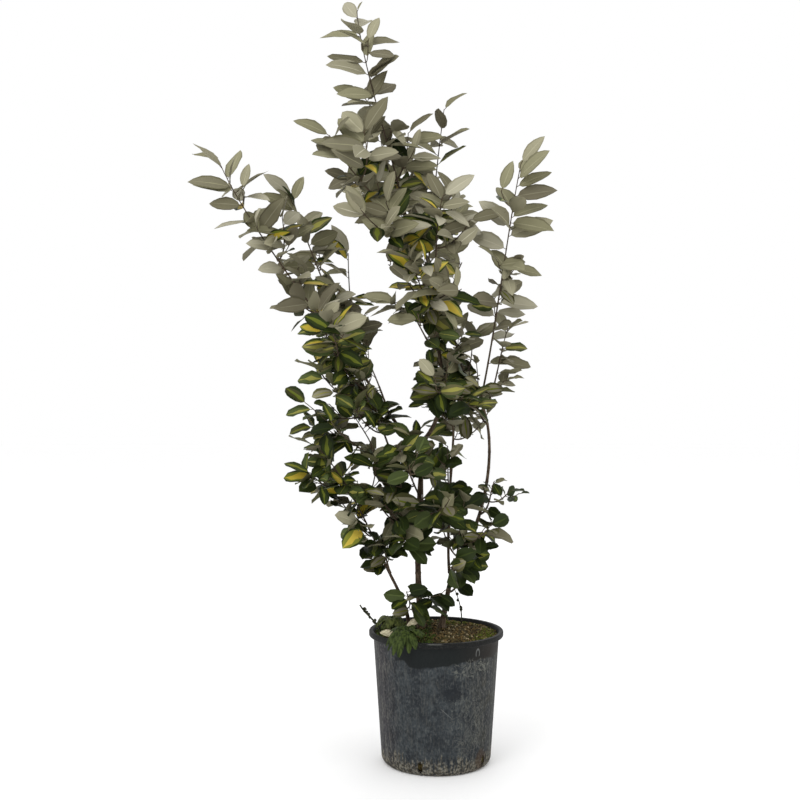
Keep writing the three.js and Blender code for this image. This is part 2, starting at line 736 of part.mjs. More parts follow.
Object.entries(TUFTS).forEach(([name, tuft], i) => {
  addNode(name, makeTuft(name, tuft, SEED.first + i), "weed");
});
const stalk = makeStalk();
stand("weed_stalk", stalk);
addNode("weed_stalk", stalk, "weed");

// All the masses' stems stand before any side twig, and all the twigs before any leaf.
const masses = {};
Object.entries(MASSES).forEach(([name, spec], i) => {
  const [stem, ...sides] = planMass(spec, limbs, SEED.first + SEED.step * i);
  stem.solid = twigSolid(stem);
  if (!isClear(stem.solid, () => false)) throw new Error(`the stem of ${name} touches its neighbours`);
  stand(name, stem.solid);
  masses[name] = { twigs: [stem], sides };
});
for (const [name, mass] of Object.entries(masses)) {
  for (const side of mass.sides) {
    if (!isClear(twigSolid(side, LEAF.probe), ({ owner }) => owner === name)) continue;
    side.solid = twigSolid(side);
    stand(name, side.solid);
    mass.twigs.push(side);
  }
}
for (const [name, mass] of Object.entries(masses)) {
  addNode(name, fuseMass(mass.twigs), "leaf");
}

export default plant;
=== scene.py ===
# %% [markdown]
# # A variegated silverberry in its nursery pot
#
# The plant is a young evergreen shrub of three stems. Its long shoots are silvery at the top, and its
# lower leaves are dark green with a gold heart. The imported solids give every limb, every leafy mass
# and the pot its place and size. This lesson dresses them: leaves with a fold and a coloured heart,
# round twigs, bark with relief, a weathered pot, and the small growth on the soil.
#
# The solids load first, because each piece takes its place from them. Their box is kept, so that the
# dressed model can be set against it at the end.

# %% Load the solids
import math
from dataclasses import dataclass
from types import SimpleNamespace

import bmesh
import bpy
import numpy as np
from mathutils import Matrix, Vector, noise


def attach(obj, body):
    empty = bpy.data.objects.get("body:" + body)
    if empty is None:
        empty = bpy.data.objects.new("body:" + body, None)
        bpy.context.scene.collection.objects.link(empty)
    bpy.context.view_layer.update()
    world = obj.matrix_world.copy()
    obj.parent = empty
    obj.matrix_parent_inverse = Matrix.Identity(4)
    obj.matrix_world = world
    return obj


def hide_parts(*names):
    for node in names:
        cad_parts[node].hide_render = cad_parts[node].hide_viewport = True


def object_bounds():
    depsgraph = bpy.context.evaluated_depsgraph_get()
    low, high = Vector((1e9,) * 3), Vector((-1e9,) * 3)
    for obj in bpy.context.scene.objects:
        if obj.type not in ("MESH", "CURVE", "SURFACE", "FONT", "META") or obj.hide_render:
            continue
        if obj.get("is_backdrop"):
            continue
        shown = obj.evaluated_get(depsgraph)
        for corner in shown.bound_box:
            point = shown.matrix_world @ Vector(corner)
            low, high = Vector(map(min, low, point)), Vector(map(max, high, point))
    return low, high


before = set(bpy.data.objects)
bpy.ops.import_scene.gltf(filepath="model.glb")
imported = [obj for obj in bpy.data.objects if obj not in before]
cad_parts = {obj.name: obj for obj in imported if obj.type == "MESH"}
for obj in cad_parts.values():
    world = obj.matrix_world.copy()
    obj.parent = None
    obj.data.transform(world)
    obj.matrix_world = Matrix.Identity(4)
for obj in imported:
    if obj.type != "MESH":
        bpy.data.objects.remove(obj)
solid_low, solid_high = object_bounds()
BODY = "root"
MM = 0.001
print(f"{len(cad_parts)} nodes, {solid_high.z - solid_low.z:.3f} m high")

# %% [markdown]
# The camera stands level, a little over two metres in front of the pot and about half way up the
# plant. A level camera keeps the stems and the pot's sides upright in the picture. Its distance
# comes from the two ellipses of the pot, which open downwards from the line of sight. `EYE` is its
# place in millimetres.

# %% Place the camera
EYE = (-70, -2120, 697)
FOCAL_LENGTH = 49.14
SENSOR_WIDTH = 36.0


def add_object(name, data):
    """A new object in the scene."""
    item = bpy.data.objects.new(name, data)
    bpy.context.scene.collection.objects.link(item)
    return item


lens = bpy.data.cameras.new("camera")
lens.sensor_width = SENSOR_WIDTH
lens.lens = FOCAL_LENGTH
camera = add_object("camera", lens)
camera.location = [way * MM for way in EYE]
camera.rotation_euler = (math.radians(90), 0, 0)
bpy.context.scene.camera = camera
print("camera", tuple(camera.location))

# %% [markdown]
# Materials and Geometry Nodes are both node trees, so one pair of small classes serves for both.
# A `Wire` holds a socket, and plain operators on it add Math nodes: `1 - mask` is a node as well.
# A `Graph` has one method that adds any other node, with its settings first and its sockets after,
# and noise, which both kinds of tree use.


# %% Wires and graphs
class Wire:
    """A socket of a node tree that plain operators work on."""

    def __init__(self, graph, socket):
        self.graph = graph
        self.socket = socket

    def maths(self, operation, *values):
        settings = {"operation": operation}
        return self.graph.add("ShaderNodeMath", settings, dict(enumerate(values)))

    def __add__(self, other):
        return self.maths("ADD", self, other)

    def __sub__(self, other):
        return self.maths("SUBTRACT", self, other)

    def __rsub__(self, other):
        return self.maths("SUBTRACT", other, self)

    def __mul__(self, other):
        return self.maths("MULTIPLY", self, other)

    def __truediv__(self, other):
        return self.maths("DIVIDE", self, other)

    def __abs__(self):
        return self.maths("ABSOLUTE", self)

    __radd__ = __add__


class Graph:
    """A node tree, with one way of adding any node to it, and noise."""

    def __init__(self, tree):
        self.tree = tree

    def add(self, kind, settings=None, inputs=None, output=0):
        node = self.tree.nodes.new(kind)
        for name, value in (settings or {}).items():
            setattr(node, name, value)
        self.feed(node, inputs or {})
        return Wire(self, node.outputs[output])

    def feed(self, node, inputs):
        for name, value in inputs.items():
            if isinstance(value, Wire):
                self.tree.links.new(value.socket, node.inputs[name])
            else:
                node.inputs[name].default_value = value

    def stretch(self, vector, factors):
        """A vector with each of its numbers multiplied."""
        settings = {"operation": "MULTIPLY"}
        return self.add("ShaderNodeVectorMath", settings, {0: vector, 1: factors})

    def cloud(self, vector, scale, detail=3.0, distortion=0.0):
        """Soft noise, from 0 to 1."""
        inputs = {"Vector": vector, "Scale": scale, "Detail": detail, "Distortion": distortion}
        return self.add("ShaderNodeTexNoise", inputs=inputs)


# %% [markdown]
# A finish is a material with its own graph. Colours are given as they look on a screen, from 0 to
# 255, and turned into the linear values that light is worked out in. Nothing on this plant is glossy,
# and white light from all sides makes dark things pale where they shine, so `shine` is low. Leaves and
# twigs take plain finishes, because many small leaves are joined in one mesh.


# %% Finishes
def colour(red, green, blue):
    """A screen colour, 0 to 255, as linear light."""
    shares = [value / 255 for value in (red, green, blue)]
    linear = [s / 12.92 if s <= 0.04045 else ((s + 0.055) / 1.055) ** 2.4 for s in shares]
    return (*linear, 1.0)


class Finish(Graph):
    """A material, its graph and its surface shader, and the tone that its coats have made so far."""

    def __init__(self, name, tone, roughness, shine=0.1):
        self.tone = tone
        self.material = bpy.data.materials.new(name)
        self.material.use_nodes = True
        super().__init__(self.material.node_tree)
        self.surface = self.tree.nodes["Principled BSDF"]
        inputs = {"Base Color": colour(*tone), "Roughness": roughness, "Specular IOR Level": shine}
        self.feed(self.surface, inputs)

    def place(self):
        return self.add("ShaderNodeTexCoord", output="Object")

    def split(self, vector):
        """The three numbers of a vector."""
        return [self.add("ShaderNodeSeparateXYZ", inputs={0: vector}, output=i) for i in range(3)]

    def rise(self, value, low, high):
        """0 below low, 1 above high, and smooth between; low above high turns it round."""
        settings = {"interpolation_type": "SMOOTHSTEP"}
        return self.add("ShaderNodeMapRange", settings, {0: value, 1: low, 2: high})

    def spot(self, x, z, middle, half):
        """1 in the middle of a soft ellipse on a wall and 0 at its edge."""
        across, up = (x - middle[0]) / half[0], (z - middle[1]) / half[1]
        return self.rise(across * across + up * up, 1, 0.3)

    def blend(self, mask, under, over):
        """One tone over another where the mask is 1."""
        under, over = (tone if isinstance(tone, Wire) else colour(*tone) for tone in (under, over))
        settings = {"data_type": "RGBA"}
        return self.add("ShaderNodeMix", settings, {0: mask, 6: under, 7: over}, output=2)

    def coat(self, mask, over, under=None):
        """A new tone: this one where the mask is 1, over the last one or the one that is given."""
        self.tone = self.blend(mask, under or self.tone, over)
        self.feed(self.surface, {"Base Color": self.tone})

    def bump(self, height, distance, strength=1.0):
        inputs = {"Height": height, "Distance": distance, "Strength": strength}
        self.feed(self.surface, {"Normal": self.add("ShaderNodeBump", inputs=inputs)})


print(f"mid grey on a screen is {colour(128, 128, 128)[0]:.2f} in linear light")

# %% [markdown]
# Every finished mesh becomes a piece in the same way: an object at the origin that rides on the
# plant's one body and stands for the solids it replaces.


# %% Pieces
def add_piece(name, mesh, slot, *nodes):
    """An object with this mesh, in place of the nodes named."""
    piece = add_object(name, mesh)
    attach(piece, BODY)
    if nodes:
        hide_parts(*nodes)
    return piece


def make_mesh(name, points, faces, edges=()):
    """A mesh from points in millimetres."""
    mesh = bpy.data.meshes.new(name)
    mesh.from_pydata(np.asarray(points, dtype=float) * MM, edges, faces)
    return mesh


# %% [markdown]
# Geometry Nodes repeat small shapes and carry a profile along a path. A `Recipe` is such a tree with
# named inputs. `made_by` gives a mesh to the recipe, sets the inputs by their sockets' identifiers,
# keeps the evaluated result as a plain mesh, and takes the modifier away with its object.


# %% Recipes for Geometry Nodes
class Recipe(Graph):
    """A Geometry Nodes tree with a mesh in, a mesh out, and named inputs."""

    SOCKETS = {float: "NodeSocketFloat", int: "NodeSocketInt"}

    def __init__(self, name, **defaults):
        super().__init__(bpy.data.node_groups.new(name, "GeometryNodeTree"))
        self.name = name
        self.sockets = {}
        sides = self.tree.interface
        sides.new_socket("Mesh", in_out="INPUT", socket_type="NodeSocketGeometry")
        sides.new_socket("Mesh", in_out="OUTPUT", socket_type="NodeSocketGeometry")
        for label, value in defaults.items():
            kind = self.SOCKETS.get(type(value), "NodeSocketMaterial")
            socket = sides.new_socket(label, in_out="INPUT", socket_type=kind)
            if value is not None:
                socket.default_value = value
            self.sockets[label] = socket.identifier
        self.start = self.tree.nodes.new("NodeGroupInput")

    def given(self, label="Mesh"):
        return Wire(self, self.start.outputs[label])

    def stored(self, name):
        """A number that is stored on the points."""
        return self.add("GeometryNodeInputNamedAttribute", {"data_type": "FLOAT"}, {"Name": name})

    def tubes(self, paths):
        """A round profile along every path, as wide as the radius on its points."""
        ring = self.add("GeometryNodeCurvePrimitiveCircle", inputs={0: self.given("sides"), "Radius": 1.0})
        inputs = {0: paths, 1: ring, "Scale": self.stored("radius"), "Fill Caps": True}
        return self.add("GeometryNodeCurveToMesh", inputs=inputs)

    def finish(self, geometry):
        """Smooth shading, real instances, the finish that is asked for, and the way out."""
        smooth_faces = self.add("GeometryNodeSetShadeSmooth", inputs={0: geometry})
        real = self.add("GeometryNodeRealizeInstances", inputs={0: smooth_faces})
        coated = self.add("GeometryNodeSetMaterial", inputs={0: real, "Material": self.given("finish")})
        end = self.tree.nodes.new("NodeGroupOutput")
        self.feed(end, {0: coated})
        return self


def result_of(item):
    """What an object's modifiers make of it, as a plain mesh."""
    shown = item.evaluated_get(bpy.context.evaluated_depsgraph_get())
    return bpy.data.meshes.new_from_object(shown)


def made_by(recipe, name, mesh, **inputs):
    """The mesh that a recipe makes of another mesh."""
    carrier = add_object(name, mesh)
    modifier = carrier.modifiers.new(recipe.name, "NODES")
    modifier.node_group = recipe.tree
    for label, value in inputs.items():
        modifier[recipe.sockets[label]] = value
    result = result_of(carrier)
    result.name = name
    carrier.modifiers.remove(modifier)
    bpy.data.objects.remove(carrier)
    return result


# %% [markdown]
# ## How the plant grows
#
# The solids were grown by a seeded rule from a table of limbs and a table of leafy masses. The same
# tables and the same rule stand here again, with the same seeds, so the same twigs come up in the
# same places. Sizes are in millimetres. A limb stands at a place on the soil, or at a share of the
# length of another limb. Then come its tip, the two handles of its curve, and its two radii, `r`.

# %% The limbs
SOIL_TOP = 250
GAP = 0.3
COLLAR = 2
LIMB_STEP = 30


def limb_on(parent, at, tip, leave, arrive, **rest):
    return dict(on=parent, at=at, tip=tip, leave=leave, arrive=arrive, **rest)


LIMBS = {
    "stem_centre": limb_on("soil", (-28, 30), (-23, 15, 617), (-12, -5, 120), (12, 0, 110), r=(6.4, 4.2)),
    "stem_right": limb_on("soil", (12, 30), (34, 20, 366), (8, 0, 40), (10, 0, 40), r=(5.2, 4.2)),
    "stem_left": limb_on("soil", (-52, 14), (-99, -10, 381), (-4, 0, 50), (-18, 0, 40), r=(3.6, 2.6)),
    "bough_left": limb_on(
        "stem_centre", 0.95, (-176, -20, 801), (-45, -5, 40), (-35, -5, 55), r=(3.4, 2.4),
    ),
    "bough_centre": limb_on("stem_centre", 1, (-22, 20, 920), (60, 0, 70), (-30, 0, 120), r=(4, 3)),
    "bough_leader": limb_on("bough_centre", 1, (-60, 20, 1060), (-8, 0, 50), (-22, 0, 50), r=(2.9, 2.4)),
    "bough_right": limb_on("stem_right", 1, (88, 10, 693), (60, 0, 75), (-38, 0, 85), r=(3.8, 2.5)),
    "bough_inner": limb_on("stem_right", 0.92, (36, 60, 617), (-5, 25, 60), (5, 5, 80), r=(2.8, 2.2)),
    "bough_mid_left": limb_on(
        "stem_centre", 0.58, (-89, -30, 601), (-15, -25, 30), (-22, -5, 50), r=(2.6, 2.1),
    ),
}
print(len(LIMBS), "limbs")

# %% [markdown]
# A mass is one leafy stem with side twigs, and stands on its limb as a limb does. `MASS` has what most
# of them share. `sides` is how many side twigs there are, and `reach` how long they are.
# `leaf` is the leaf length, `tip_leaf` the end leaf's share of it, `spacing` the way along the twig
# from leaf to leaf, and `bare` the leafless share.

# %% The masses
MASS = dict(sides=2, leaf=84, tip_leaf=0.85, spacing=26, bare=0.12, reach=90, r=(2.2, 1.5))


def mass_on(*place, **own):
    return limb_on(*place, **{**MASS, **own})


MASSES = {
    "leader_top": mass_on(
        "bough_leader", 1, (-154, 10, 1454), (-15, 0, 90), (-10, 0, 110), sides=0, leaf=98, bare=0.04,
        tip_leaf=0.2,
    ),
    "leader_mid": mass_on("bough_leader", 0.7, (-108, 70, 1215), (-10, 40, 50), (-10, 10, 60)),
    "leader_left": mass_on(
        "bough_leader", 0.85, (-203, -60, 1196), (-50, -30, 30), (-30, -10, 60), sides=1, spacing=20,
        leaf=94,
    ),
    "leader_right": mass_on("bough_centre", 0.96, (20, 110, 1290), (0, 50, 90), (14, 10, 100)),
    "leader_front": mass_on("bough_centre", 0.88, (10, -100, 1075), (15, -50, 40), (20, -20, 60)),
    "leader_back": mass_on("bough_leader", 0.5, (-81, 210, 1170), (0, 60, 40), (0, 30, 60)),
    "leader_low_left": mass_on("bough_leader", 0.3, (-139, -140, 1040), (-20, -60, 30), (-30, -20, 40)),
    "left_outer": mass_on(
        "bough_left", 1, (-413, -50, 1150), (-60, 0, 60), (-30, 0, 80), spacing=22, leaf=90,
    ),
    "left_second": mass_on(
        "bough_left", 0.86, (-290, 110, 1112), (-20, 60, 50), (-25, 15, 90), sides=1, spacing=19,
    ),
    "left_third": mass_on(
        "bough_left", 0.72, (-180, 200, 1030), (-30, 80, 60), (0, 20, 90), sides=0, spacing=20,
    ),
    "left_gold": mass_on("bough_left", 0.55, (-222, -90, 861), (-40, -50, 10), (-20, -10, 80), sides=3),
    "left_back": mass_on("bough_left", 0.4, (-160, 190, 830), (-10, 60, 30), (-30, 30, 60)),
    "left_face": mass_on("bough_left", 0.28, (-225, -50, 762), (-30, -40, 20), (-20, 0, 60)),
    "mid_left": mass_on("bough_mid_left", 1, (-145, -60, 745), (-20, -10, 60), (-20, 0, 60), sides=3),
    "mid_left_out": mass_on(
        "bough_mid_left", 0.85, (-248, -40, 690), (-50, 10, 0), (-50, -10, 40), sides=3,
    ),
    "low_left": mass_on(
        "stem_left", 1, (-226, -110, 614), (-35, -30, 85), (-50, -20, 50), sides=4, leaf=88, bare=0.25,
    ),
    "low_left_hang": mass_on(
        "stem_left", 0.85, (-106, -40, 424), (-10, -25, 20), (-6, -10, -8), sides=1, leaf=72, reach=60,
    ),
    "mid_front": mass_on("stem_centre", 0.72, (-80, -130, 624), (-10, -50, 20), (-20, -30, 40), sides=3),
    "foot_left": mass_on("stem_centre", 0.38, (-98, -90, 502), (-15, -40, 20), (-30, -20, 30), sides=3),
    "foot_front": mass_on("stem_centre", 0.5, (-28, -110, 560), (10, -50, 20), (0, -20, 50)),
    "foot_right": mass_on("stem_right", 0.78, (50, -80, 505), (15, -40, 30), (10, -20, 40), sides=3),
    "foot_back": mass_on("stem_centre", 0.45, (-70, 170, 560), (-10, 50, 30), (-10, 30, 50), sides=3),
    "right_low": mass_on(
        "bough_right", 0.35, (112, -30, 545), (20, -20, 10), (10, -5, 20), sides=1, leaf=50, reach=60,
    ),
    "right_hang": mass_on(
        "stem_right", 0.62, (60, -40, 398), (25, -20, 10), (15, -10, -5), sides=1, leaf=74, reach=60,
    ),
    "right_inner": mass_on("bough_right", 0.88, (32, 30, 845), (-20, 10, 30), (-15, 5, 80), sides=3),
    "right_tall": mass_on(
        "bough_right", 1, (154, -100, 1135), (24, -20, 110), (20, -20, 100), sides=0, spacing=25, leaf=98,
        tip_leaf=0.6,
    ),
    "inner_low": mass_on("bough_inner", 1, (31, 90, 758), (0, 5, 60), (-5, 10, 60), sides=3),
    "inner_front": mass_on("bough_inner", 0.4, (20, -60, 610), (0, -40, 40), (0, -10, 60), sides=3),
    "inner_back": mass_on("bough_inner", 0.7, (55, 200, 840), (10, 50, 60), (10, 30, 90), sides=3),
    "centre_low_front": mass_on(
        "bough_centre", 0.3, (-5, -110, 738), (15, -40, 40), (0, -20, 60), sides=3,
    ),
    "centre_front": mass_on("bough_centre", 0.75, (-50, -150, 950), (-10, -60, 20), (-20, -40, 50)),
    "centre_right": mass_on("bough_centre", 0.82, (60, 90, 985), (30, 20, 20), (25, 10, 50)),
    "foot_sprout": mass_on(
        "stem_centre", 0.1, (-6, -40, 358), (8, -18, 12), (5, -5, 30), sides=0, leaf=74, r=(1.6, 1.2),
    ),
    "foot_low": mass_on(
        "stem_left", 0.3, (-56, -50, 333), (18, -20, 5), (8, -8, -6), sides=0, leaf=76, r=(1.6, 1.2),
    ),
    "right_out": mass_on(
        "bough_right", 0.96, (138, -10, 835), (20, 0, 40), (18, 0, 60), sides=0, leaf=80, bare=0.5,
        spacing=22,
    ),
    "centre_hang": mass_on(
        "bough_centre", 0.6, (-76, -70, 880), (-20, -40, -10), (-30, -10, -10), reach=60, bare=0.2,
    ),
}
print(len(MASSES), "masses")

# %% [markdown]
# The rule needs a stream of numbers that is the same each time. It multiplies and keeps the remainder,
# an old and simple generator that any language can repeat. `mix` and `smooth` are used all through the
# lesson.


# %% Numbers
class Draws:
    """A seeded stream of numbers."""

    FACTOR = 48271
    MODULUS = 2147483647
    THROWN_AWAY = 3

    def __init__(self, seed):
        self.state = seed
        for _ in range(self.THROWN_AWAY):
            self.between(0, 1)

    def between(self, low, high):
        self.state = self.state * self.FACTOR % self.MODULUS
        return low + (high - low) * self.state / self.MODULUS


def mix(low, high, share):
    return low + (high - low) * share


def smooth(value, low, high):
    """0 below low, 1 above high, and smooth between."""
    share = min(1.0, max(0.0, (value - low) / (high - low)))
    return share * share * (3 - 2 * share)


print(f"the stream of seed 1 starts with {Draws(1).between(0, 1):.3f}")

# %% [markdown]
# Limbs and twigs are cubic curves. A `Twig` keeps its points, its two radii, and what it will carry,
# and finds the place and the way it points at any share of its length.

# %% Curves and places
UP = Vector((0, 0, 1))
FINE_STEP = 5
LEAST_POINTS = 6
LIMB_STEPS = 3
BARE_END = 5
NEARLY_UPRIGHT = 0.05


def bezier(a, b, c, d, steps):
    """Points on a cubic curve from a to d."""
    points = []
    for i in range(steps + 1):
        t = i / steps
        s = 1 - t
        points.append(a * s**3 + b * (3 * s * s * t) + c * (3 * s * t * t) + d * t**3)
    return points


def length_of(points):
    return sum((b - a).length for a, b in zip(points, points[1:]))


@dataclass
class Place:
    point: Vector
    tangent: Vector


class Twig:
    """A curved limb or twig. Its length is that of the coarse curve which the solids follow."""

    def __init__(self, start, leave, arrive, tip, step, least, radii, out=None):
        root = start + out * COLLAR if out else start
        handles = (root, root + leave, tip - arrive, tip)
        span = (tip - root).length
        lead = [start] if out else []
        self.length = length_of(lead + bezier(*handles, max(least, int(span / step + 0.5))))
        self.points = lead + bezier(*handles, max(LEAST_POINTS, round(span / FINE_STEP)))
        self.radii = radii
        self.leaves = []
        self.forks = []
        self.heart = None

    def along(self, share):
        left = share * length_of(self.points)
        for a, b in zip(self.points, self.points[1:]):
            step = (b - a).length
            if left <= step:
                return Place(a.lerp(b, left / step), (b - a).normalized())
            left -= step
        a, b = self.points[-2:]
        return Place(b.copy(), (b - a).normalized())

    def radius(self, share):
        return mix(*self.radii, share)

    def cut_back(self):
        """The points up to a little past the last leaf or fork, each with its share of the way."""
        total = length_of(self.points)
        last = max([leaf.share for leaf in self.leaves] + self.forks, default=0)
        end = min(1, last + BARE_END / total)
        count = len(self.points) - 1
        return [(self.along(end * i / count).point, end * i / count) for i in range(count + 1)]


def sideways(tangent):
    """A level direction square to a tangent, to the right where the tangent is nearly upright."""
    side = tangent.cross(UP)
    return side.normalized() if side.length > NEARLY_UPRIGHT else Vector((1, 0, 0))


def square_to(vector, axis):
    """A vector without its part along an axis, at length 1."""
    return (vector - axis * vector.dot(axis)).normalized()


straight = Twig(Vector(), UP * 20, UP * 20, UP * 60, LIMB_STEP, LIMB_STEPS, (2, 1))
print(f"a straight twig of {straight.length:.0f} mm has a radius of {straight.radius(0.5)} mm half way")

# %% [markdown]
# A limb starts on the soil, on the tip of its parent, or on its parent's side. Limbs are grown in the
# order of the table, so a parent is always there before what grows on it.


# %% Grow the limbs
def start_of(spec):
    """Where a limb or mass starts, which way it leaves, and the middle of what it leaves."""
    if spec["on"] == "soil":
        start = Vector((*spec["at"], SOIL_TOP + GAP))
        return start, UP.copy(), start
    parent = limbs[spec["on"]]
    place = parent.along(spec["at"])
    if spec["at"] == 1:
        return place.point + place.tangent * GAP, place.tangent, place.point
    out = square_to(Vector(spec["tip"]) - place.point, place.tangent)
    return place.point + out * (parent.radius(spec["at"]) + GAP), out, place.point


def grow(spec, step):
    """The limb, or the stem of a mass, that a line of a table describes."""
    start, out, heart = start_of(spec)
    handles = [Vector(spec[name]) for name in ("leave", "arrive", "tip")]
    twig = Twig(start, *handles, step, LIMB_STEPS, spec["r"], out)
    twig.heart = heart
    return twig


limbs = {}
for name, spec in LIMBS.items():
    limbs[name] = grow(spec, LIMB_STEP)
    print(f"{name}: {limbs[name].length:.0f} mm long")


# %% [markdown]
# The crown is open where the picture shows sky. Each gap is an ellipse on the upright plane through
# the pot's axis, with its middle, half-width and half-height, seen from the camera's place. The solids
# keep the same gaps open, so a leaf or a twig that would show in one is left out in both. The small
# gaps low in the crown are too narrow for the solids' leaves, and only the real ones keep them.

# %% Gaps in the crown
SKY = (
    (-84, 771, 37, 74), (-47, 817, 31, 31), (74, 945, 27, 58), (99, 1128, 21, 50), (99, 771, 18, 46),
    (147, 655, 39, 39), (163, 610, 54, 74), (74, 580, 19, 47), (-412, 992, 42, 30), (-338, 907, 42, 27),
    (-258, 410, 74, 87), (-136, 946, 33, 48), (-152, 1002, 23, 27), (-51, 1264, 46, 25),
)
SMALL_GAPS = (
    (-146, 631, 13, 20), (-107, 612, 13, 17), (-182, 583, 11, 12), (-136, 547, 16, 17),
    (-31, 522, 26, 24), (27, 547, 12, 18), (-109, 460, 17, 15), (-62, 367, 30, 24), (8, 362, 19, 44),
    (-16, 435, 13, 10), (-163, 658, 12, 9),
)
TWIG_SPOTS = (0.4, 0.7, 1)


def seen(point):
    """Where a point shows on the plane of the gaps, from the front."""
    share = -EYE[1] / (point[1] - EYE[1])
    return mix(EYE[0], point[0], share), mix(EYE[2], point[2], share)


def in_sky(points, gaps=SKY):
    """Whether any point shows in one of the gaps of the crown."""
    for x, z in map(seen, points):
        for mid_x, mid_z, half_width, half_height in gaps:
            if ((x - mid_x) / half_width) ** 2 + ((z - mid_z) / half_height) ** 2 < 1:
                return True
    return False


def crosses_sky(twig):
    return in_sky([twig.along(share).point for share in TWIG_SPOTS])


print(len(SKY), "gaps and", len(SMALL_GAPS), "small ones")

# %% [markdown]
# A leaf leans out from its twig, less so at the tip, droops or rises by chance, and turns its face to
# the light, which comes from the front and above. The numbers are drawn in the same order as in the
# source, so the draws stay in step. One thing differs: high in the crown the leaves turn their faces
# further to the front, as the picture shows them. `at_height` gives one value for the low crown,
# another for the high crown, and passes softly between them.

# %% How a leaf stands
LIGHT = Vector((0, -0.6, 0.8))
FRONT = Vector((0, -1, 0))
TURNED = (0, 0.9)
ROUND_BELOW = 700
LONG_ABOVE = 1040
LEAVES = SimpleNamespace(
    golden_turn=137.5, swing=14, along=(0.3, 0.7), least=2, flat_rise=0.4, lean=(74, 34),
    lean_power=5, droop=(-0.1, 0.3), level=0.75, forward=0.4, roll=55, length=(0.84, 1.14),
    width=(0.48, 0.62), curl=(0.04, 0.14), foot_size=0.8, foot_share=0.3, tip_share=0.75,
    tip_shrink=0.25, end_turn=2,
)


@dataclass
class Leaf:
    root: Vector
    direction: Vector
    normal: Vector
    length: float
    width: float
    curl: float
    share: float


def at_height(pair, z):
    """A value that changes from the low crown to the high one."""
    return mix(*pair, smooth(z, ROUND_BELOW, LONG_ABOVE))


def plan_leaf(draws, place, phi, share, size):
    side = sideways(place.tangent)
    top = side.cross(place.tangent)
    rise = mix(LEAVES.flat_rise, 1, place.tangent.z**2)
    radial = (side * math.cos(phi) + top * (math.sin(phi) * rise)).normalized()
    lean = mix(*LEAVES.lean, share ** LEAVES.lean_power)
    angle = math.radians(lean + draws.between(-LEAVES.swing, LEAVES.swing))
    direction = place.tangent * math.cos(angle) + radial * math.sin(angle)
    direction -= UP * draws.between(*LEAVES.droop)
    direction.z *= LEAVES.level
    direction.normalize()
    face = square_to(LIGHT + place.tangent * LEAVES.forward, direction)
    roll = math.radians(draws.between(-LEAVES.roll, LEAVES.roll))
    normal = Matrix.Rotation(roll, 3, direction) @ face
    normal = square_to(normal + FRONT * at_height(TURNED, place.point.z), direction)
    length = size * draws.between(*LEAVES.length)
    width = length * draws.between(*LEAVES.width)
    curl = draws.between(*LEAVES.curl)
    return Leaf(place.point, direction, normal, length, width, curl, share)


print("turned to the front low and high:", at_height(TURNED, ROUND_BELOW), at_height(TURNED, LONG_ABOVE))

# %% [markdown]
# Each leaf stands a golden turn round its twig from the last one, so that few hide one another. Leaves
# are smaller near the foot of a twig and at its end.


# %% Leaves along a twig
def leaf_size(share):
    foot = mix(LEAVES.foot_size, 1, min(1, share / LEAVES.foot_share))
    end = max(0, (share - LEAVES.tip_share) / (1 - LEAVES.tip_share))
    return foot * (1 - LEAVES.tip_shrink * end**2)


def plan_leaves(draws, twig, bare, mass, size):
    """The leaves of one twig, and one at its tip."""
    total = twig.length
    count = max(LEAVES.least, int((total - bare) / mass["spacing"]))
    phi = draws.between(0, 2 * math.pi)
    for k in range(count):
        share = (bare + (k + draws.between(*LEAVES.along)) * (total - bare) / count) / total
        phi += math.radians(LEAVES.golden_turn + draws.between(-LEAVES.swing, LEAVES.swing))
        twig.leaves.append(plan_leaf(draws, twig.along(share), phi, share, size * leaf_size(share)))
    end_size = size * mass["tip_leaf"]
    twig.leaves.append(plan_leaf(draws, twig.along(1), phi + LEAVES.end_turn, 1, end_size))


print(f"a leaf at the foot of its twig has {leaf_size(0):.1f} of the full length")

# %% [markdown]
# A side twig leaves its stem at a turn round it and bends up. A mass is its stem and its side twigs,
# without those that would cross a gap of the crown.

# %% Plan the masses
TWIG = SimpleNamespace(
    step=42, steps=2, start=(0.15, 0.65), along=(0.1, 0.9), swing=20, reach=(0.75, 1.2), taper=0.75,
    ahead=0.62, out=0.78, up=0.12, flat=0.7, bend=(0.5, 0.3, 0.3), handles=(0.35, 0.3),
    bare=0.2, leaf=0.92,
)
FIRST_SEED = 1000
SEED_STEP = 37


def side_twig(place, turn, reach, rise, radii):
    side = sideways(place.tangent)
    top = side.cross(place.tangent)
    radial = side * math.cos(turn) + top * (math.sin(turn) * TWIG.flat)

    def reached(forward, out, up):
        return (place.tangent * forward + radial * out + UP * up) * reach

    leave, arrive = TWIG.handles
    tip = place.point + reached(TWIG.ahead, TWIG.out, rise)
    handles = radial * (leave * reach), reached(*TWIG.bend) * arrive
    return Twig(place.point, *handles, tip, TWIG.step, TWIG.steps, radii)


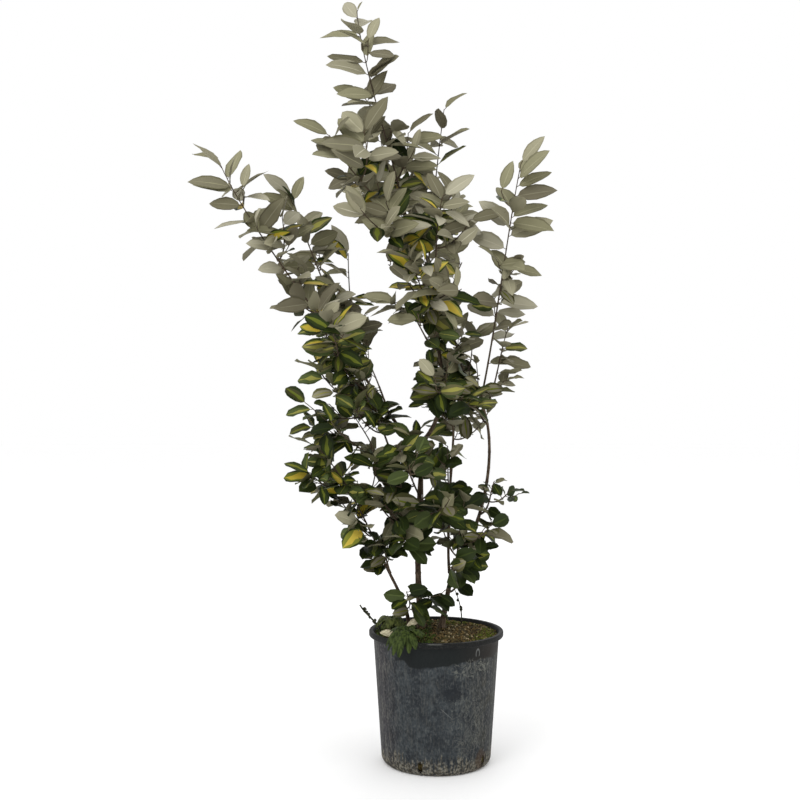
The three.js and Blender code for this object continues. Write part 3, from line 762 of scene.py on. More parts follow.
def plan_mass(mass, seed):
    """The twigs of a mass, with the leaves that its solids also have."""
    draws = Draws(seed)
    stem = grow(mass, TWIG.step)
    plan_leaves(draws, stem, mass["bare"] * stem.length, mass, mass["leaf"])
    twigs = [stem]
    turn = draws.between(0, 2 * math.pi)
    for j in range(mass["sides"]):
        share = mix(*TWIG.start, (j + draws.between(*TWIG.along)) / mass["sides"])
        turn += math.radians(LEAVES.golden_turn + draws.between(-TWIG.swing, TWIG.swing))
        reach = mass["reach"] * draws.between(*TWIG.reach)
        radii = (mass["r"][0] * TWIG.taper, mass["r"][1])
        twig = side_twig(stem.along(share), turn, reach, TWIG.up, radii)
        plan_leaves(draws, twig, TWIG.bare * reach, mass, mass["leaf"] * TWIG.leaf)
        if not crosses_sky(twig):
            twigs.append(twig)
            stem.forks.append(share)
    return twigs


def count_leaves():
    return sum(len(twig.leaves) for twigs in masses.values() for twig in twigs)


masses = {}
for i, (name, mass) in enumerate(MASSES.items()):
    masses[name] = plan_mass(mass, FIRST_SEED + SEED_STEP * i)
print(count_leaves(), "leaves planned by the source's rule")

# %% [markdown]
# The solids' leaves are all alike, and larger and fewer than the real ones. Real leaves are small and
# round low in the crown, and long at its top, where the longest are brought nearer to the rest. Each
# is tested by a few spots on its blade, and where one comes too near a limb or a leaf that stands
# already, the leaf is left out. The leaves of the source are placed first.

# %% Keep leaves apart
STALK_LENGTH = 5
REAL_SHARE = (0.64, 0.94)
REAL_WIDTH = (0.74, 0.82)
LONG_LEAF = 72
OVERLONG = 0.55
LIMB_ROOM = 2.0
LEAF_ROOM = 2.4
FINE_ROOM = 2.6
SPOTS = ((0.25, 0), (0.5, 0), (0.78, 0), (1.0, 0), (0.45, 0.3), (0.45, -0.3))


def real_size(leaf):
    """A leaf's length and width in life."""
    length = leaf.length * at_height(REAL_SHARE, leaf.root.z)
    shrink = 1 - OVERLONG * max(0, length - LONG_LEAF) / length
    return length * shrink, leaf.width * shrink * at_height(REAL_WIDTH, leaf.root.z)


class Room:
    """The spots that limbs and leaves have taken, each with the room it keeps round it."""

    def __init__(self):
        self.spots = np.empty((0, 3))
        self.reach = np.empty(0)

    def fill(self, spots, reach):
        self.spots = np.vstack([self.spots, spots])
        self.reach = np.concatenate([self.reach, np.broadcast_to(reach, len(spots))])

    def is_free(self, spots, own):
        apart = np.linalg.norm(self.spots[None] - spots[:, None], axis=2)
        return bool((apart > self.reach + own).all())


def blade_spots(leaf):
    """A few spots spread over the blade that a leaf will have."""
    side = leaf.direction.cross(leaf.normal)
    length, width = real_size(leaf)
    spots = []
    for out, across in SPOTS:
        drop = leaf.normal * (leaf.curl * length * out**2)
        reach = leaf.direction * (STALK_LENGTH + out * length)
        spots.append(leaf.root + reach + side * (across * width) - drop)
    return np.array(spots)


def keep_free(leaves, room, own):
    """The leaves that find room, which is then taken."""
    kept = []
    for leaf in leaves:
        spots = blade_spots(leaf)
        if not in_sky(spots, SKY + SMALL_GAPS) and room.is_free(spots, own):
            room.fill(spots, own)
            kept.append(leaf)
    return kept


room = Room()
for limb in limbs.values():
    shares = np.linspace(0, 1, len(limb.points))
    reach = np.array([limb.radius(share) for share in shares]) + LIMB_ROOM
    room.fill(np.array(limb.points), reach)
for twigs in masses.values():
    for twig in twigs:
        twig.leaves = keep_free(twig.leaves, room, LEAF_ROOM)
print(count_leaves(), "of them have room")

# %% [markdown]
# The finer growth has a stream of its own, so that it doesn't disturb the first. Each twig gets more
# leaves between those it has, and short spurs with small leaves, and more of both low in the crown,
# where the real leaves are small. `FILL` says how many leaves come on each leaf of the source, and
# `SPURS` how many spurs on each 100 mm of twig. All stay within the reach of the twig's own leaves.

# %% Grow the finer twigs
FINE_SEED = 7000
FILL = (2.2, 0.9)
SPURS = (2.2, 0.8)
BETWEEN = SimpleNamespace(along=(0.12, 0.95), swing=20, size=(0.78, 0.96))
SPUR = SimpleNamespace(
    along=(0.15, 0.85), reach=(26, 44), up=0.15, thin=0.5, tip_radius=0.7, leaf=0.74,
    places=(0.3, 0.55, 0.8), tip_leaf=0.8, least_leaves=2,
)


def add_fine_leaves(draws, twig, mass):
    """More leaves between those of the source."""
    phi = draws.between(0, 2 * math.pi)
    more = []
    fill = at_height(FILL, twig.along(0.5).point.z)
    for _ in range(round(fill * twig.length / mass["spacing"])):
        share = draws.between(*BETWEEN.along)
        phi += math.radians(LEAVES.golden_turn + draws.between(-BETWEEN.swing, BETWEEN.swing))
        size = mass["leaf"] * draws.between(*BETWEEN.size)
        more.append(plan_leaf(draws, twig.along(share), phi, share, size))
    twig.leaves += keep_free(more, room, FINE_ROOM)


def make_spur(draws, twig, mass, turn, share):
    """A short shoot with a few small leaves."""
    reach = draws.between(*SPUR.reach)
    radii = (twig.radius(share) * SPUR.thin, SPUR.tip_radius)
    spur = side_twig(twig.along(share), turn, reach, SPUR.up, radii)
    size = mass["leaf"] * SPUR.leaf
    phi = draws.between(0, 2 * math.pi)
    leaves = []
    for place in SPUR.places:
        phi += math.radians(LEAVES.golden_turn)
        leaves.append(plan_leaf(draws, spur.along(place), phi, place, size))
    leaves.append(plan_leaf(draws, spur.along(1), phi + LEAVES.end_turn, 1, size * SPUR.tip_leaf))
    if not crosses_sky(spur):
        spur.leaves = keep_free(leaves, room, FINE_ROOM)
    return spur


def add_fine_twigs(draws, twigs, mass):
    """Spurs on every twig that the source has; one that finds no room for leaves is left out."""
    for twig in list(twigs):
        turn = draws.between(0, 2 * math.pi)
        spurs = at_height(SPURS, twig.along(0.5).point.z)
        for _ in range(round(spurs * twig.length / 100)):
            turn += math.radians(LEAVES.golden_turn)
            share = draws.between(*SPUR.along)
            spur = make_spur(draws, twig, mass, turn, share)
            if len(spur.leaves) >= SPUR.least_leaves:
                twigs.append(spur)
                twig.forks.append(share)


for i, (name, twigs) in enumerate(masses.items()):
    draws = Draws(FINE_SEED + SEED_STEP * i)
    for twig in twigs:
        add_fine_leaves(draws, twig, MASSES[name])
    add_fine_twigs(draws, twigs, MASSES[name])
print(count_leaves(), "leaves in all")

# %% [markdown]
# ## Leaves
#
# The leaves of this shrub are leathery ovals with a pointed tip and a wavy edge. Old ones are dark
# green, most with a lime or gold heart, and young ones have fine silver scales on both sides.
# The colours have a fixed place on the blade, so they are plain finishes given to its faces: each
# blade has three zones on either side of the midrib, whose borders wander from station to station.
# Each zone has several tints from dark to light, as no two leaves have quite the same colour.

# %% Leaf tints
TINTS = {
    "margin": [(29, 38, 14), (38, 48, 19), (49, 59, 27), (62, 72, 38)],
    "green": [(44, 54, 22), (55, 66, 29), (67, 78, 39), (81, 92, 51)],
    "flash": [(94, 102, 32), (122, 125, 48), (150, 147, 74)],
    "heart": [(158, 140, 42), (176, 156, 54), (192, 170, 70), (204, 184, 100)],
    "olive": [(64, 64, 34), (80, 80, 46), (98, 96, 62)],
    "silver_edge": [(92, 88, 69), (106, 103, 79), (120, 117, 92), (134, 130, 107), (150, 146, 125)],
    "silver": [(111, 107, 85), (127, 124, 97), (141, 138, 110), (154, 150, 125), (168, 164, 143)],
    "rib": [(132, 128, 106), (148, 145, 117), (160, 157, 128), (171, 167, 141), (182, 178, 156)],
    "under": [(112, 107, 88), (123, 119, 98), (134, 130, 107), (145, 141, 118)],
    # Darker undersides for low leaves: partly old leaves' browner colour, partly painted shade.
    "old_under": [(68, 70, 44), (84, 84, 57), (100, 98, 73), (116, 113, 90)],
    "shoot": [(66, 56, 46), (78, 67, 55), (90, 79, 64)],
}
LEAF_ROUGHNESS = {"margin": 0.45, "flash": 0.48, "heart": 0.5, "olive": 0.5, "shoot": 0.8}
SCALY_ROUGHNESS = 0.7
LEAF_SHINE = 0.09


def make_tints():
    """One plain finish for each tint."""
    tints = {}
    for zone, tones in TINTS.items():
        roughness = LEAF_ROUGHNESS.get(zone, SCALY_ROUGHNESS)
        tints[zone] = [
            Finish(f"{zone}_tint_{i + 1}", tone, roughness, LEAF_SHINE).material
            for i, tone in enumerate(tones)
        ]
    return tints


tints = make_tints()
print(sum(map(len, tints.values())), "plain tints")

# %% [markdown]
# A leaf's look depends on its age and place. Leaves high in the crown and near the ends of shoots are
# young and silver, and those low down and near the stems are old and green. A column of old leaves
# also runs up through the middle of the crown, more of them stand on its left flank, and gold hearts
# come in both places. The outer shoots on the right are silver from low down. `ZONES` gives these
# parts of the crown: each fades in over the heights of its bottom, and out over those of its top,
# and some have an edge across the crown too.

# %% The parts of the crown
YOUNG = (600, 940)
SIDE = (-60, -170)
FLANK = (-100, -160)
CENTRE = (90, 40)
ZONES = {
    "low": dict(bottom=(360, 480)),
    "high": dict(bottom=YOUNG),
    "inner": dict(bottom=(500, 700)),
    "column": dict(bottom=(600, 680), top=(1120, 1020)),
    "flank": dict(bottom=(500, 580), top=(880, 800), across=FLANK),
    "flank_foot": dict(bottom=(500, 580), top=(660, 610), across=FLANK),
    "outer_right": dict(bottom=(560, 640), across=(60, 100)),
    "summit": dict(bottom=(1090, 1290)),
    "left_low": dict(bottom=(400, 520), top=(620, 580), across=SIDE),
    "left_high": dict(bottom=(690, 730), across=SIDE),
    "centre_high": dict(bottom=(740, 940), across=CENTRE),
    "centre_top": dict(bottom=(1040, 1140), across=CENTRE),
    "upper": dict(bottom=(520, 700)),
}
COLUMN = SimpleNamespace(middle=(15, -60), leans=(700, 900), edge=(85, 35))


def shares_in(leaf, height):
    """How far inside each part of the crown a leaf is, from 0 to 1."""
    x = leaf.root.x
    shares = {}
    for name, zone in ZONES.items():
        across = smooth(x, *zone["across"]) if "across" in zone else 1
        top = smooth(height, *zone["top"]) if "top" in zone else 1
        shares[name] = smooth(height, *zone["bottom"]) * top * across
    middle = mix(*COLUMN.middle, smooth(height, *COLUMN.leans))
    shares["column"] *= smooth(abs(x - middle), *COLUMN.edge)
    shares["inner"] *= 1 - leaf.share
    return shares


print(len(ZONES), "parts of the crown")

# %% [markdown]
# The odds say how much a leaf well inside each part is likelier to be young or gold, and `ODDS` has
# those of the other kinds. `LOW_SHADE` is painted shade: it keeps low leaves, deep in the crown, from
# the lightest tints. `KINDS` gives the zones of a kind from the leaf's edge inwards, the two borders
# between them, and how ragged the inner one is.

# %% Deal out the colours
YOUNG_ODDS = dict(low=0.13, high=0.85, inner=-0.4, column=-0.3, flank=-0.5)
GOLD_ODDS = dict(
    left_low=0.17, left_high=0.1, flank=0.1, flank_foot=0.24, centre_high=0.46, centre_top=-0.4,
)
ODDS = SimpleNamespace(
    outer_right=0.75, gold=0.012, lime=0.25, flash=0.26, green=0.4, plain=0.86, dusty=0.25,
)
# Painted shade: the tints of low leaves, deep in the crown, stop short of the lightest ones.
LOW_SHADE = SimpleNamespace(tones=(0.85, 1), heights=(500, 940))
GREY_UNDER = (0.1, 0.95)
KINDS = {
    "gold": (("margin", "flash", "heart"), 0.72, 0.5, 0.5),
    "lime": (("margin", "olive", "flash"), 0.62, 0.3, 0.5),
    "flash": (("margin", "green", "flash"), 0.6, 0.24, 0.8),
    "green": (("margin", "green", "flash"), 0.64, 0.05, 0.5),
    "plain": (("margin", "margin", "green"), 0.6, 0.12, 0.6),
    "olive": (("olive", "under", "flash"), 0.6, 0.12, 0.5),
    "silver": (("silver_edge", "silver", "rib"), 0.8, 0.06, 0.3),
    "dusty": (("silver_edge", "under", "rib"), 0.8, 0.06, 0.3),
}


def kind_of(height, leaf, draws):
    """Silver, or one of the kinds of an old leaf by their odds."""
    inside = shares_in(leaf, height)

    def total(odds):
        return sum(inside[name] * weight for name, weight in odds.items())

    young = total(YOUNG_ODDS)
    young += (1 - young) * max(ODDS.outer_right * inside["outer_right"], inside["summit"])
    chance = draws.between(0, 1)
    if chance < young:
        return "dusty" if chance < ODDS.dusty * young else "silver"
    chance = (chance - young) / (1 - young)
    gold = ODDS.gold + total(GOLD_ODDS)
    lime = gold + ODDS.lime * inside["upper"]
    limits = dict(gold=gold, lime=lime, flash=lime + ODDS.flash, green=lime + ODDS.green, plain=ODDS.plain)
    return next((kind for kind, limit in limits.items() if chance < limit), "olive")


def toned(zone, tone):
    """The tint of a zone at a share of the way from dark to light."""
    return tints[zone][int(tone * len(tints[zone]))]


def look_of(leaf, draws):
    """The tints of a leaf's zones from the edge inwards, its underside, its zones' borders, and age."""
    height = leaf.root.z + leaf.direction.z * leaf.length / 2
    kind = kind_of(height, leaf, draws)
    names, *borders = KINDS[kind]
    tone = draws.between(0, 1) * mix(*LOW_SHADE.tones, smooth(height, *LOW_SHADE.heights))
    zones = [toned(name, tone) for name in names]
    # Low leaves mostly take the darker undersides, which are partly painted shade.
    is_old_and_shaded = draws.between(0, 1) > mix(*GREY_UNDER, smooth(height, *YOUNG))
    under = toned("old_under" if is_old_and_shaded else "under", draws.between(0, 1))
    return zones, under, borders, kind in ("silver", "dusty")


print(len(KINDS), "kinds of leaves")

# %% [markdown]
# A leaf's outline is a product of two powers: round at the stalk and pointed at the tip, more so high
# in the crown. `STATIONS` are the shares of the length at which the blade gets a row of points.

# %% The outline of a leaf
STATIONS = (0.08, 0.26, 0.47, 0.69, 0.88)
ROUND_BASE = 0.66
TIP_POWER = (0.62, 0.84)


def half_width(t, power):
    """The outline's half-width at a share of the length, 1 at its widest."""
    widest = ROUND_BASE / (ROUND_BASE + power)
    return (t / widest) ** ROUND_BASE * ((1 - t) / (1 - widest)) ** power


print("half-widths of a low leaf:", [round(half_width(t, TIP_POWER[0]), 2) for t in STATIONS])

# %% [markdown]
# The blade is a closed shell of two sheets that share their outline. The upper sheet has six faces
# across and the lower one four, which is enough for the fold along the midrib, the wavy margin and
# the colour zones. Both are split along the same diagonals, so neither pokes through the other. High
# leaves are calmer than low ones, and an old leaf among them is a little smaller.

# %% Shape one leaf
BLADE = SimpleNamespace(
    fold=(6, 24), twist=(-0.3, 0.3), wave=(0.04, 0.2), sway=(-0.08, 0.08), hook=(-0.06, 0.14),
    upper_lift=0.2, lower_drop=0.5, waves=1.6, wavy_from=0.5, outer_calm=3, crease=50,
)
CALM = (1, 0.55)
YOUNG_WIDTH = 0.96
OLD_SIZE = (1, 0.86)


def shade(mesh, crease):
    """Smooth shading, with hard edges where the faces bend by more than the crease, in degrees."""
    mesh.shade_smooth()
    mesh.set_sharp_from_angle(angle=math.radians(crease))
    return mesh


class Blades:
    """Many leaves joined in one mesh, each face with its own tint."""

    def __init__(self):
        self.points = []
        self.faces = []
        self.face_tints = []

    def add_leaf(self, leaf, draws):
        zones, under, (outer, inner, ragged), is_young = look_of(leaf, draws)
        length, width = real_size(leaf)
        if not is_young:
            length, width = (size * at_height(OLD_SIZE, leaf.root.z) for size in (length, width))
        half = width / 2 * (YOUNG_WIDTH if is_young else 1)
        power = at_height(TIP_POWER, leaf.root.z)
        fold = math.radians(draws.between(*BLADE.fold))
        twist = draws.between(*BLADE.twist)
        calm = at_height(CALM, leaf.root.z)
        wave = half * calm * draws.between(*BLADE.wave)
        sway = length * calm * draws.between(*BLADE.sway)
        hook = length * calm * draws.between(*BLADE.hook)
        phases = [draws.between(0, 2 * math.pi) for _ in range(2)]
        side = leaf.normal.cross(leaf.direction)
        base = leaf.root + leaf.direction * STALK_LENGTH

        def spot(t, u, lift):
            reach = half_width(t, power) * half * u if 0 < t < 1 else 0
            margin = max(0, (abs(u) - BLADE.wavy_from) / (1 - BLADE.wavy_from))
            ripple = wave * margin * math.sin(2 * math.pi * BLADE.waves * t + phases[u > 0])
            height = abs(reach) * math.sin(fold) + ripple + lift
            across = reach * math.cos(fold)
            turn = twist * t
            y = across * math.cos(turn) - height * math.sin(turn)
            z = across * math.sin(turn) + height * math.cos(turn)
            y += sway * t * t
            z -= leaf.curl * length * t * t + hook * t**4
            return base + leaf.direction * (t * length) + side * y + leaf.normal * z

        first = len(self.points)
        self.points += [spot(0, 0, 0), spot(1, 0, 0)]
        for t in STATIONS:
            calmer = ragged / BLADE.outer_calm
            a, d = (outer * draws.between(1 - calmer, 1 + calmer) for _ in range(2))
            b, c = (inner * draws.between(1 - ragged, 1 + ragged) * (1 - t**4) for _ in range(2))
            above = [spot(t, u, BLADE.upper_lift * (1 - abs(u))) for u in (-1, -a, -b, 0, c, d, 1)]
            below = [spot(t, u, -BLADE.lower_drop) for u in (-a, 0, d)]
            self.points += above + below
        self.join_rows(first, [*zones, *reversed(zones)], under)

    def join_rows(self, first, columns, under):
        """Faces between the stations, with fans at the root and the tip."""
        across = len(columns) + 1
        row_length = across + 3
        starts = [first + 2 + row_length * i for i in range(len(STATIONS))]
        lower = (0, *range(across, row_length), across - 1)
        above = [[start + j for j in range(across)] for start in starts]
        below = [[start + j for j in lower] for start in starts]
        self.join_sheet(first, above, columns, False)
        self.join_sheet(first, below, [under] * (len(below[0]) - 1), True)

    def join_sheet(self, first, rows, columns, faces_down):
        """The faces of one sheet; a split goes from the lower left to the upper right in both."""
        for j, tint in enumerate(columns):
            fans = [(first, rows[0][j], rows[0][j + 1]), (first + 1, rows[-1][j + 1], rows[-1][j])]
            bands = [(low[j], high[j], high[j + 1], low[j + 1]) for low, high in zip(rows, rows[1:])]
            for corners in fans + bands:
                self.faces.append((corners[0], *reversed(corners[1:])) if faces_down else corners)
                self.face_tints.append(tint)

    def mesh(self, name):
        mesh = make_mesh(name, self.points, self.faces)
        used = sorted(set(self.face_tints), key=lambda tint: tint.name)
        for tint in used:
            mesh.materials.append(tint)
        slots = [used.index(tint) for tint in self.face_tints]
        mesh.polygons.foreach_set("material_index", slots)
        return shade(mesh, BLADE.crease)


# %% [markdown]
# The leaves of each mass are one piece, and its twigs another. Both replace the mass's solid.

# %% Make the leaves of every mass
LEAF_SEED = 11000

for i, (name, twigs) in enumerate(masses.items()):
    draws = Draws(LEAF_SEED + SEED_STEP * i)
    blades = Blades()
    for twig in twigs:
        for leaf in twig.leaves:
            blades.add_leaf(leaf, draws)
    add_piece(f"leaves_{name}", blades.mesh(f"leaves_{name}"), "foliage", name)

# %% [markdown]
# ## Twigs and leaf stalks
#
# Twigs follow paths, so Geometry Nodes make them: a mesh of bare edges becomes curves, and a round
# profile is carried along each, scaled by a radius that is stored on every point.


# %% A recipe for round twigs
def twig_recipe():
    recipe = Recipe("round_twigs", sides=6, finish=None)
    paths = recipe.add("GeometryNodeMeshToCurve", inputs={0: recipe.given()})
    return recipe.finish(recipe.tubes(paths))


class Paths:
    """Runs of points with a radius each, as a mesh of edges."""

    def __init__(self):
        self.points = []
        self.edges = []
        self.radii = []

    def add_run(self, points, radii):
        first = len(self.points)
        self.points += points
        self.radii += radii
        self.edges += [(first + i, first + i + 1) for i in range(len(points) - 1)]

    def mesh(self, name):
        mesh = make_mesh(name, self.points, (), self.edges)
        radius = mesh.attributes.new("radius", "FLOAT", "POINT")
        radius.data.foreach_set("value", np.array(self.radii) * MM)
        return mesh


round_twigs = twig_recipe()
print("recipe", round_twigs.name, "with", len(round_twigs.tree.nodes), "nodes")

# %% [markdown]
# A stem starts in the middle of the limb that it grows from. It swells a little where a leaf stalk
# leaves it, and ends a little past the last leaf or side shoot that it carries. A stalk bends from the
# twig into the midrib of its leaf.

# %% Make the twigs of every mass
STALK = SimpleNamespace(radii=(0.95, 0.7, 0.7, 0.35), sag=0.6, end=4, under=(0.3, 0.4))
NODE_SWELL = 0.18
NODE_LENGTH = 2.4
TIP_RADIUS = 0.8


def twig_run(twig):
    """The points of a twig and the radius at each, with a swelling at every leaf."""
    total = length_of(twig.points)
    points, radii = [], []
    for point, share in twig.cut_back():
        swell = sum(math.exp(-(((share - leaf.share) * total / NODE_LENGTH) ** 2)) for leaf in twig.leaves)
        radius = mix(twig.radii[0], TIP_RADIUS, share)
        points.append(point)
        radii.append(radius * (1 + NODE_SWELL * min(1.0, swell)))
    return points, radii


def stalk_run(leaf):
    """A leaf stalk from inside the twig to a little way along the blade's underside."""
    base = leaf.root + leaf.direction * STALK_LENGTH
    bend = leaf.root.lerp(base, 0.5) - UP * STALK.sag
    end = base + leaf.direction * STALK.end
    under_base, under_end = STALK.under
    return [leaf.root, bend, base - leaf.normal * under_base, end - leaf.normal * under_end], STALK.radii


for i, (name, twigs) in enumerate(masses.items()):
    paths = Paths()
    for twig in twigs:
        points, radii = twig_run(twig)
        if twig.heart is not None:
            points, radii = [twig.heart, *points], [radii[0], *radii]
        paths.add_run(points, radii)
        for leaf in twig.leaves:
            paths.add_run(*stalk_run(leaf))
    shoot = tints["shoot"][i % len(tints["shoot"])]
    mesh = made_by(round_twigs, f"twigs_{name}", paths.mesh(name), sides=6, finish=shoot)
    add_piece(f"twigs_{name}", mesh, "bark", name)

# %% [markdown]
# ## Bark
#
# The stems are no thicker than a finger. Their bark is thin and grey-brown, with fine wrinkles along
# the stem, pale pores, and a swollen ring where each old leaf stood. The relief is made in the mesh:
# the recipe carries a round profile along the limb and pushes each point in or out by stretched
# noise. The finish then adds what is too fine for the mesh.


# %% The bark finish
def bark_finish():
    bark = Finish("bark", (84, 72, 60), 0.85)
    place = bark.place()
    wrinkles = bark.cloud(bark.stretch(place, (1, 1, 0.22)), 420, 6)
    blotches = bark.cloud(place, 55, 3)
    pores = bark.rise(bark.cloud(bark.stretch(place, (1, 1, 1.8)), 700, 2), 0.66, 0.74)
    bark.coat(bark.rise(blotches, 0.35, 0.65), (104, 90, 75), under=(66, 53, 43))
    bark.coat(bark.rise(wrinkles, 0.55, 0.38) * 0.6, (40, 31, 25))
    bark.coat(pores * 0.7, (138, 124, 104))
    bark.bump(wrinkles + pores * 0.5, 0.0006)
    return bark.material


bark = bark_finish()
print("finish", bark.name)


# %% A recipe for limbs with relief
def limb_recipe():
    recipe = Recipe("limbs_with_relief", sides=20, spacing=0.0025, relief=0.0005, finish=None)
    paths = recipe.add("GeometryNodeMeshToCurve", inputs={0: recipe.given()})
    inputs = {0: paths, "Length": recipe.given("spacing")}
    tube = recipe.tubes(recipe.add("GeometryNodeResampleCurve", {"mode": "LENGTH"}, inputs))
    place = recipe.add("GeometryNodeInputPosition")
    grain = recipe.cloud(recipe.stretch(place, (1, 1, 0.3)), 260)
    height = (grain - 0.5) * recipe.given("relief")
    normal = recipe.add("GeometryNodeInputNormal")
    push = recipe.add("ShaderNodeVectorMath", {"operation": "SCALE"}, {0: normal, "Scale": height})
    return recipe.finish(recipe.add("GeometryNodeSetPosition", inputs={0: tube, "Offset": push}))


rough_limbs = limb_recipe()
print("recipe", rough_limbs.name, "with", len(rough_limbs.tree.nodes), "nodes")

# %% [markdown]
# Each limb flares at the soil, or swells into a collar where it leaves its parent. The rings of old
# leaf scars come every few centimetres.

# %% Make the limbs
FLARE = 0.55
FLARE_HEIGHT = 14
COLLAR_SWELL = 0.35
COLLAR_HEIGHT = 7
SCAR_SPACING = 27
SCAR_SWELL = 0.13
SCAR_LENGTH = 1.8
PATH_STEP = 2.5
SCAR_SEED = 500
SCAR_DRIFT = 0.25


def limb_run(limb, draws, stands):
    """The points of a limb and their radii."""
    total = length_of(limb.points)
    steps = range(1, int(total / SCAR_SPACING))
    scars = [(k + draws.between(-SCAR_DRIFT, SCAR_DRIFT)) * SCAR_SPACING for k in steps]
    swell, height = (FLARE, FLARE_HEIGHT) if stands else (COLLAR_SWELL, COLLAR_HEIGHT)
    points = [] if stands else [limb.heart]
    radii = [] if stands else [limb.radius(0) * (1 + swell)]
    count = round(total / PATH_STEP)
    for i in range(count + 1):
        share = i / count
        way = share * total
        rings = sum(math.exp(-(((way - scar) / SCAR_LENGTH) ** 2)) for scar in scars)
        bulge = 1 + swell * math.exp(-way / height) + SCAR_SWELL * rings
        points.append(limb.along(share).point)
        radii.append(limb.radius(share) * bulge)
    return points, radii


for i, (name, limb) in enumerate(limbs.items()):
    paths = Paths()
    paths.add_run(*limb_run(limb, Draws(SCAR_SEED + i), LIMBS[name]["on"] == "soil"))
    mesh = made_by(rough_limbs, f"bark_{name}", paths.mesh(name), finish=bark)
    add_piece(f"bark_{name}", mesh, "bark", name)
    print(f"{name}: {len(mesh.polygons)} faces")


# %% [markdown]
# ## The pot
#
# A nursery pot is blown or moulded from thin black plastic. It tapers straight down to a rounded heel,
# has a rolled lip, and drains through slots low in its wall. Its section is one line, from the middle
# of its underside up the outside, over the lip, and down to the middle of its floor.

# %% The pot's section
POT = SimpleNamespace(
    height=252, rim=130, neck=121.5, heel=106, foot=96, heel_height=14,
    lip_height=10, lip_round=2, wall=2, floor=3, crease=40, dish=1.2, ring=(16, 12), shoulder=1.2,
    bevel=1.5, edge=1,
)
HEEL_STEPS = 9
LIP_STEPS = 4
WALL_STEPS = 24
INNER_STEPS = 12


def arc(centre, radius, first, last, steps):
    """Points on an arc of a section, from one angle to another in degrees."""
    angles = np.radians(np.linspace(first, last, steps + 1))
    return [(centre[0] + radius * math.cos(a), centre[1] + radius * math.sin(a)) for a in angles]


def wall_radius(z):
    share = (z - POT.heel_height) / (POT.height - POT.lip_height - POT.heel_height)
    return mix(POT.heel, POT.neck, share)


def pot_section():
    """The section of the pot, from the middle of its underside round to its floor."""
    neck = POT.height - POT.lip_height
    round_lip = POT.lip_round
    lip = POT.rim - round_lip
    heel_width = POT.heel - POT.foot
    heel = [
        (POT.foot + heel_width * math.sin(a), POT.heel_height * (1 - math.cos(a)))
        for a in np.linspace(0, math.pi / 2, HEEL_STEPS)
    ]
    outer = np.linspace(POT.heel_height, neck - POT.bevel, WALL_STEPS)[1:]
    outer_wall = [(wall_radius(z), z) for z in outer]
    inner = np.linspace(neck, POT.heel_height, INNER_STEPS)
    inner_wall = [(wall_radius(z) - POT.wall, z) for z in inner]
    ring_in, ring_out = POT.ring
    return [
        (0, POT.dish), (POT.foot - ring_in, POT.dish), (POT.foot - ring_out, 0), *heel, *outer_wall,
        (wall_radius(neck) + POT.shoulder, neck),
        *arc((lip, neck + round_lip), round_lip, -90, 0, LIP_STEPS),
        *arc((lip, POT.height - round_lip), round_lip, 0, 90, LIP_STEPS),
        (POT.neck + POT.edge, POT.height), (POT.neck, POT.height - POT.edge), *inner_wall,
        (POT.foot - POT.wall, POT.floor), (0, POT.floor),
    ]


print("section of", len(pot_section()), "points")

# %% [markdown]
# The section is spun round the axis, which closes it to a solid shell, and the slots are cut out of it
# by a Boolean with rounded boxes.

# %% Shape the pot
SPIN_STEPS = 144
SAME_PLACE = 1e-6
NO_SIZE = 1e-7
DRAIN = SimpleNamespace(
    count=5, first_angle=-108, width=9, low=5, high=28, reach=24, corner=3, corner_steps=4,
)


def mesh_of(form, name):
    """The mesh that an edited form makes, which is then done with."""
    mesh = bpy.data.meshes.new(name)
    form.to_mesh(mesh)
    form.free()
    return mesh


def spin(name, section, steps):
    """A section that starts and ends on the axis, turned all the way round it."""
    form = bmesh.new()
    corners = [form.verts.new((r * MM, 0, z * MM)) for r, z in section]
    edges = [form.edges.new(pair) for pair in zip(corners, corners[1:])]
    bmesh.ops.spin(form, geom=corners + edges, axis=(0, 0, 1), angle=2 * math.pi, steps=steps)
    bmesh.ops.remove_doubles(form, verts=form.verts, dist=SAME_PLACE)
    bmesh.ops.dissolve_degenerate(form, edges=form.edges, dist=NO_SIZE)
    bmesh.ops.recalc_face_normals(form, faces=form.faces)
    return mesh_of(form, name)


def drain_slots():
    """Rounded boxes where the slots go."""
    form = bmesh.new()
    size = (DRAIN.reach, DRAIN.width, DRAIN.high - DRAIN.low)
    for i in range(DRAIN.count):
        angle = math.radians(DRAIN.first_angle + 360 / DRAIN.count * i)
        centre = Vector((POT.heel, 0, (DRAIN.low + DRAIN.high) / 2)) * MM
        turn = Matrix.Rotation(angle, 4, "Z")
        box = Matrix.Translation(centre) @ Matrix.Diagonal((*[s * MM for s in size], 1))
        bmesh.ops.create_cube(form, size=1, matrix=turn @ box)
    reach = DRAIN.reach * MM
    along = [edge for edge in form.edges if abs(edge.calc_length() - reach) < SAME_PLACE]
    corner = dict(offset=DRAIN.corner * MM, segments=DRAIN.corner_steps, affect="EDGES")
    bmesh.ops.bevel(form, geom=along, **corner)
    return mesh_of(form, "drain_slots")


def cut(mesh, tool):
    """A mesh with another cut out of it."""
    body, cutter = add_object("body", mesh), add_object("cutter", tool)
    modifier = body.modifiers.new("slots", "BOOLEAN")
    modifier.object = cutter
    modifier.operation = "DIFFERENCE"
    modifier.solver = "EXACT"
    result = result_of(body)
    for item in (body, cutter):
        bpy.data.objects.remove(item)
    return result


pot_mesh = cut(spin("pot_form", pot_section(), SPIN_STEPS), drain_slots())
pot_mesh.name = "pot_shell"
shade(pot_mesh, POT.crease)
print("pot:", len(pot_mesh.polygons), "faces")

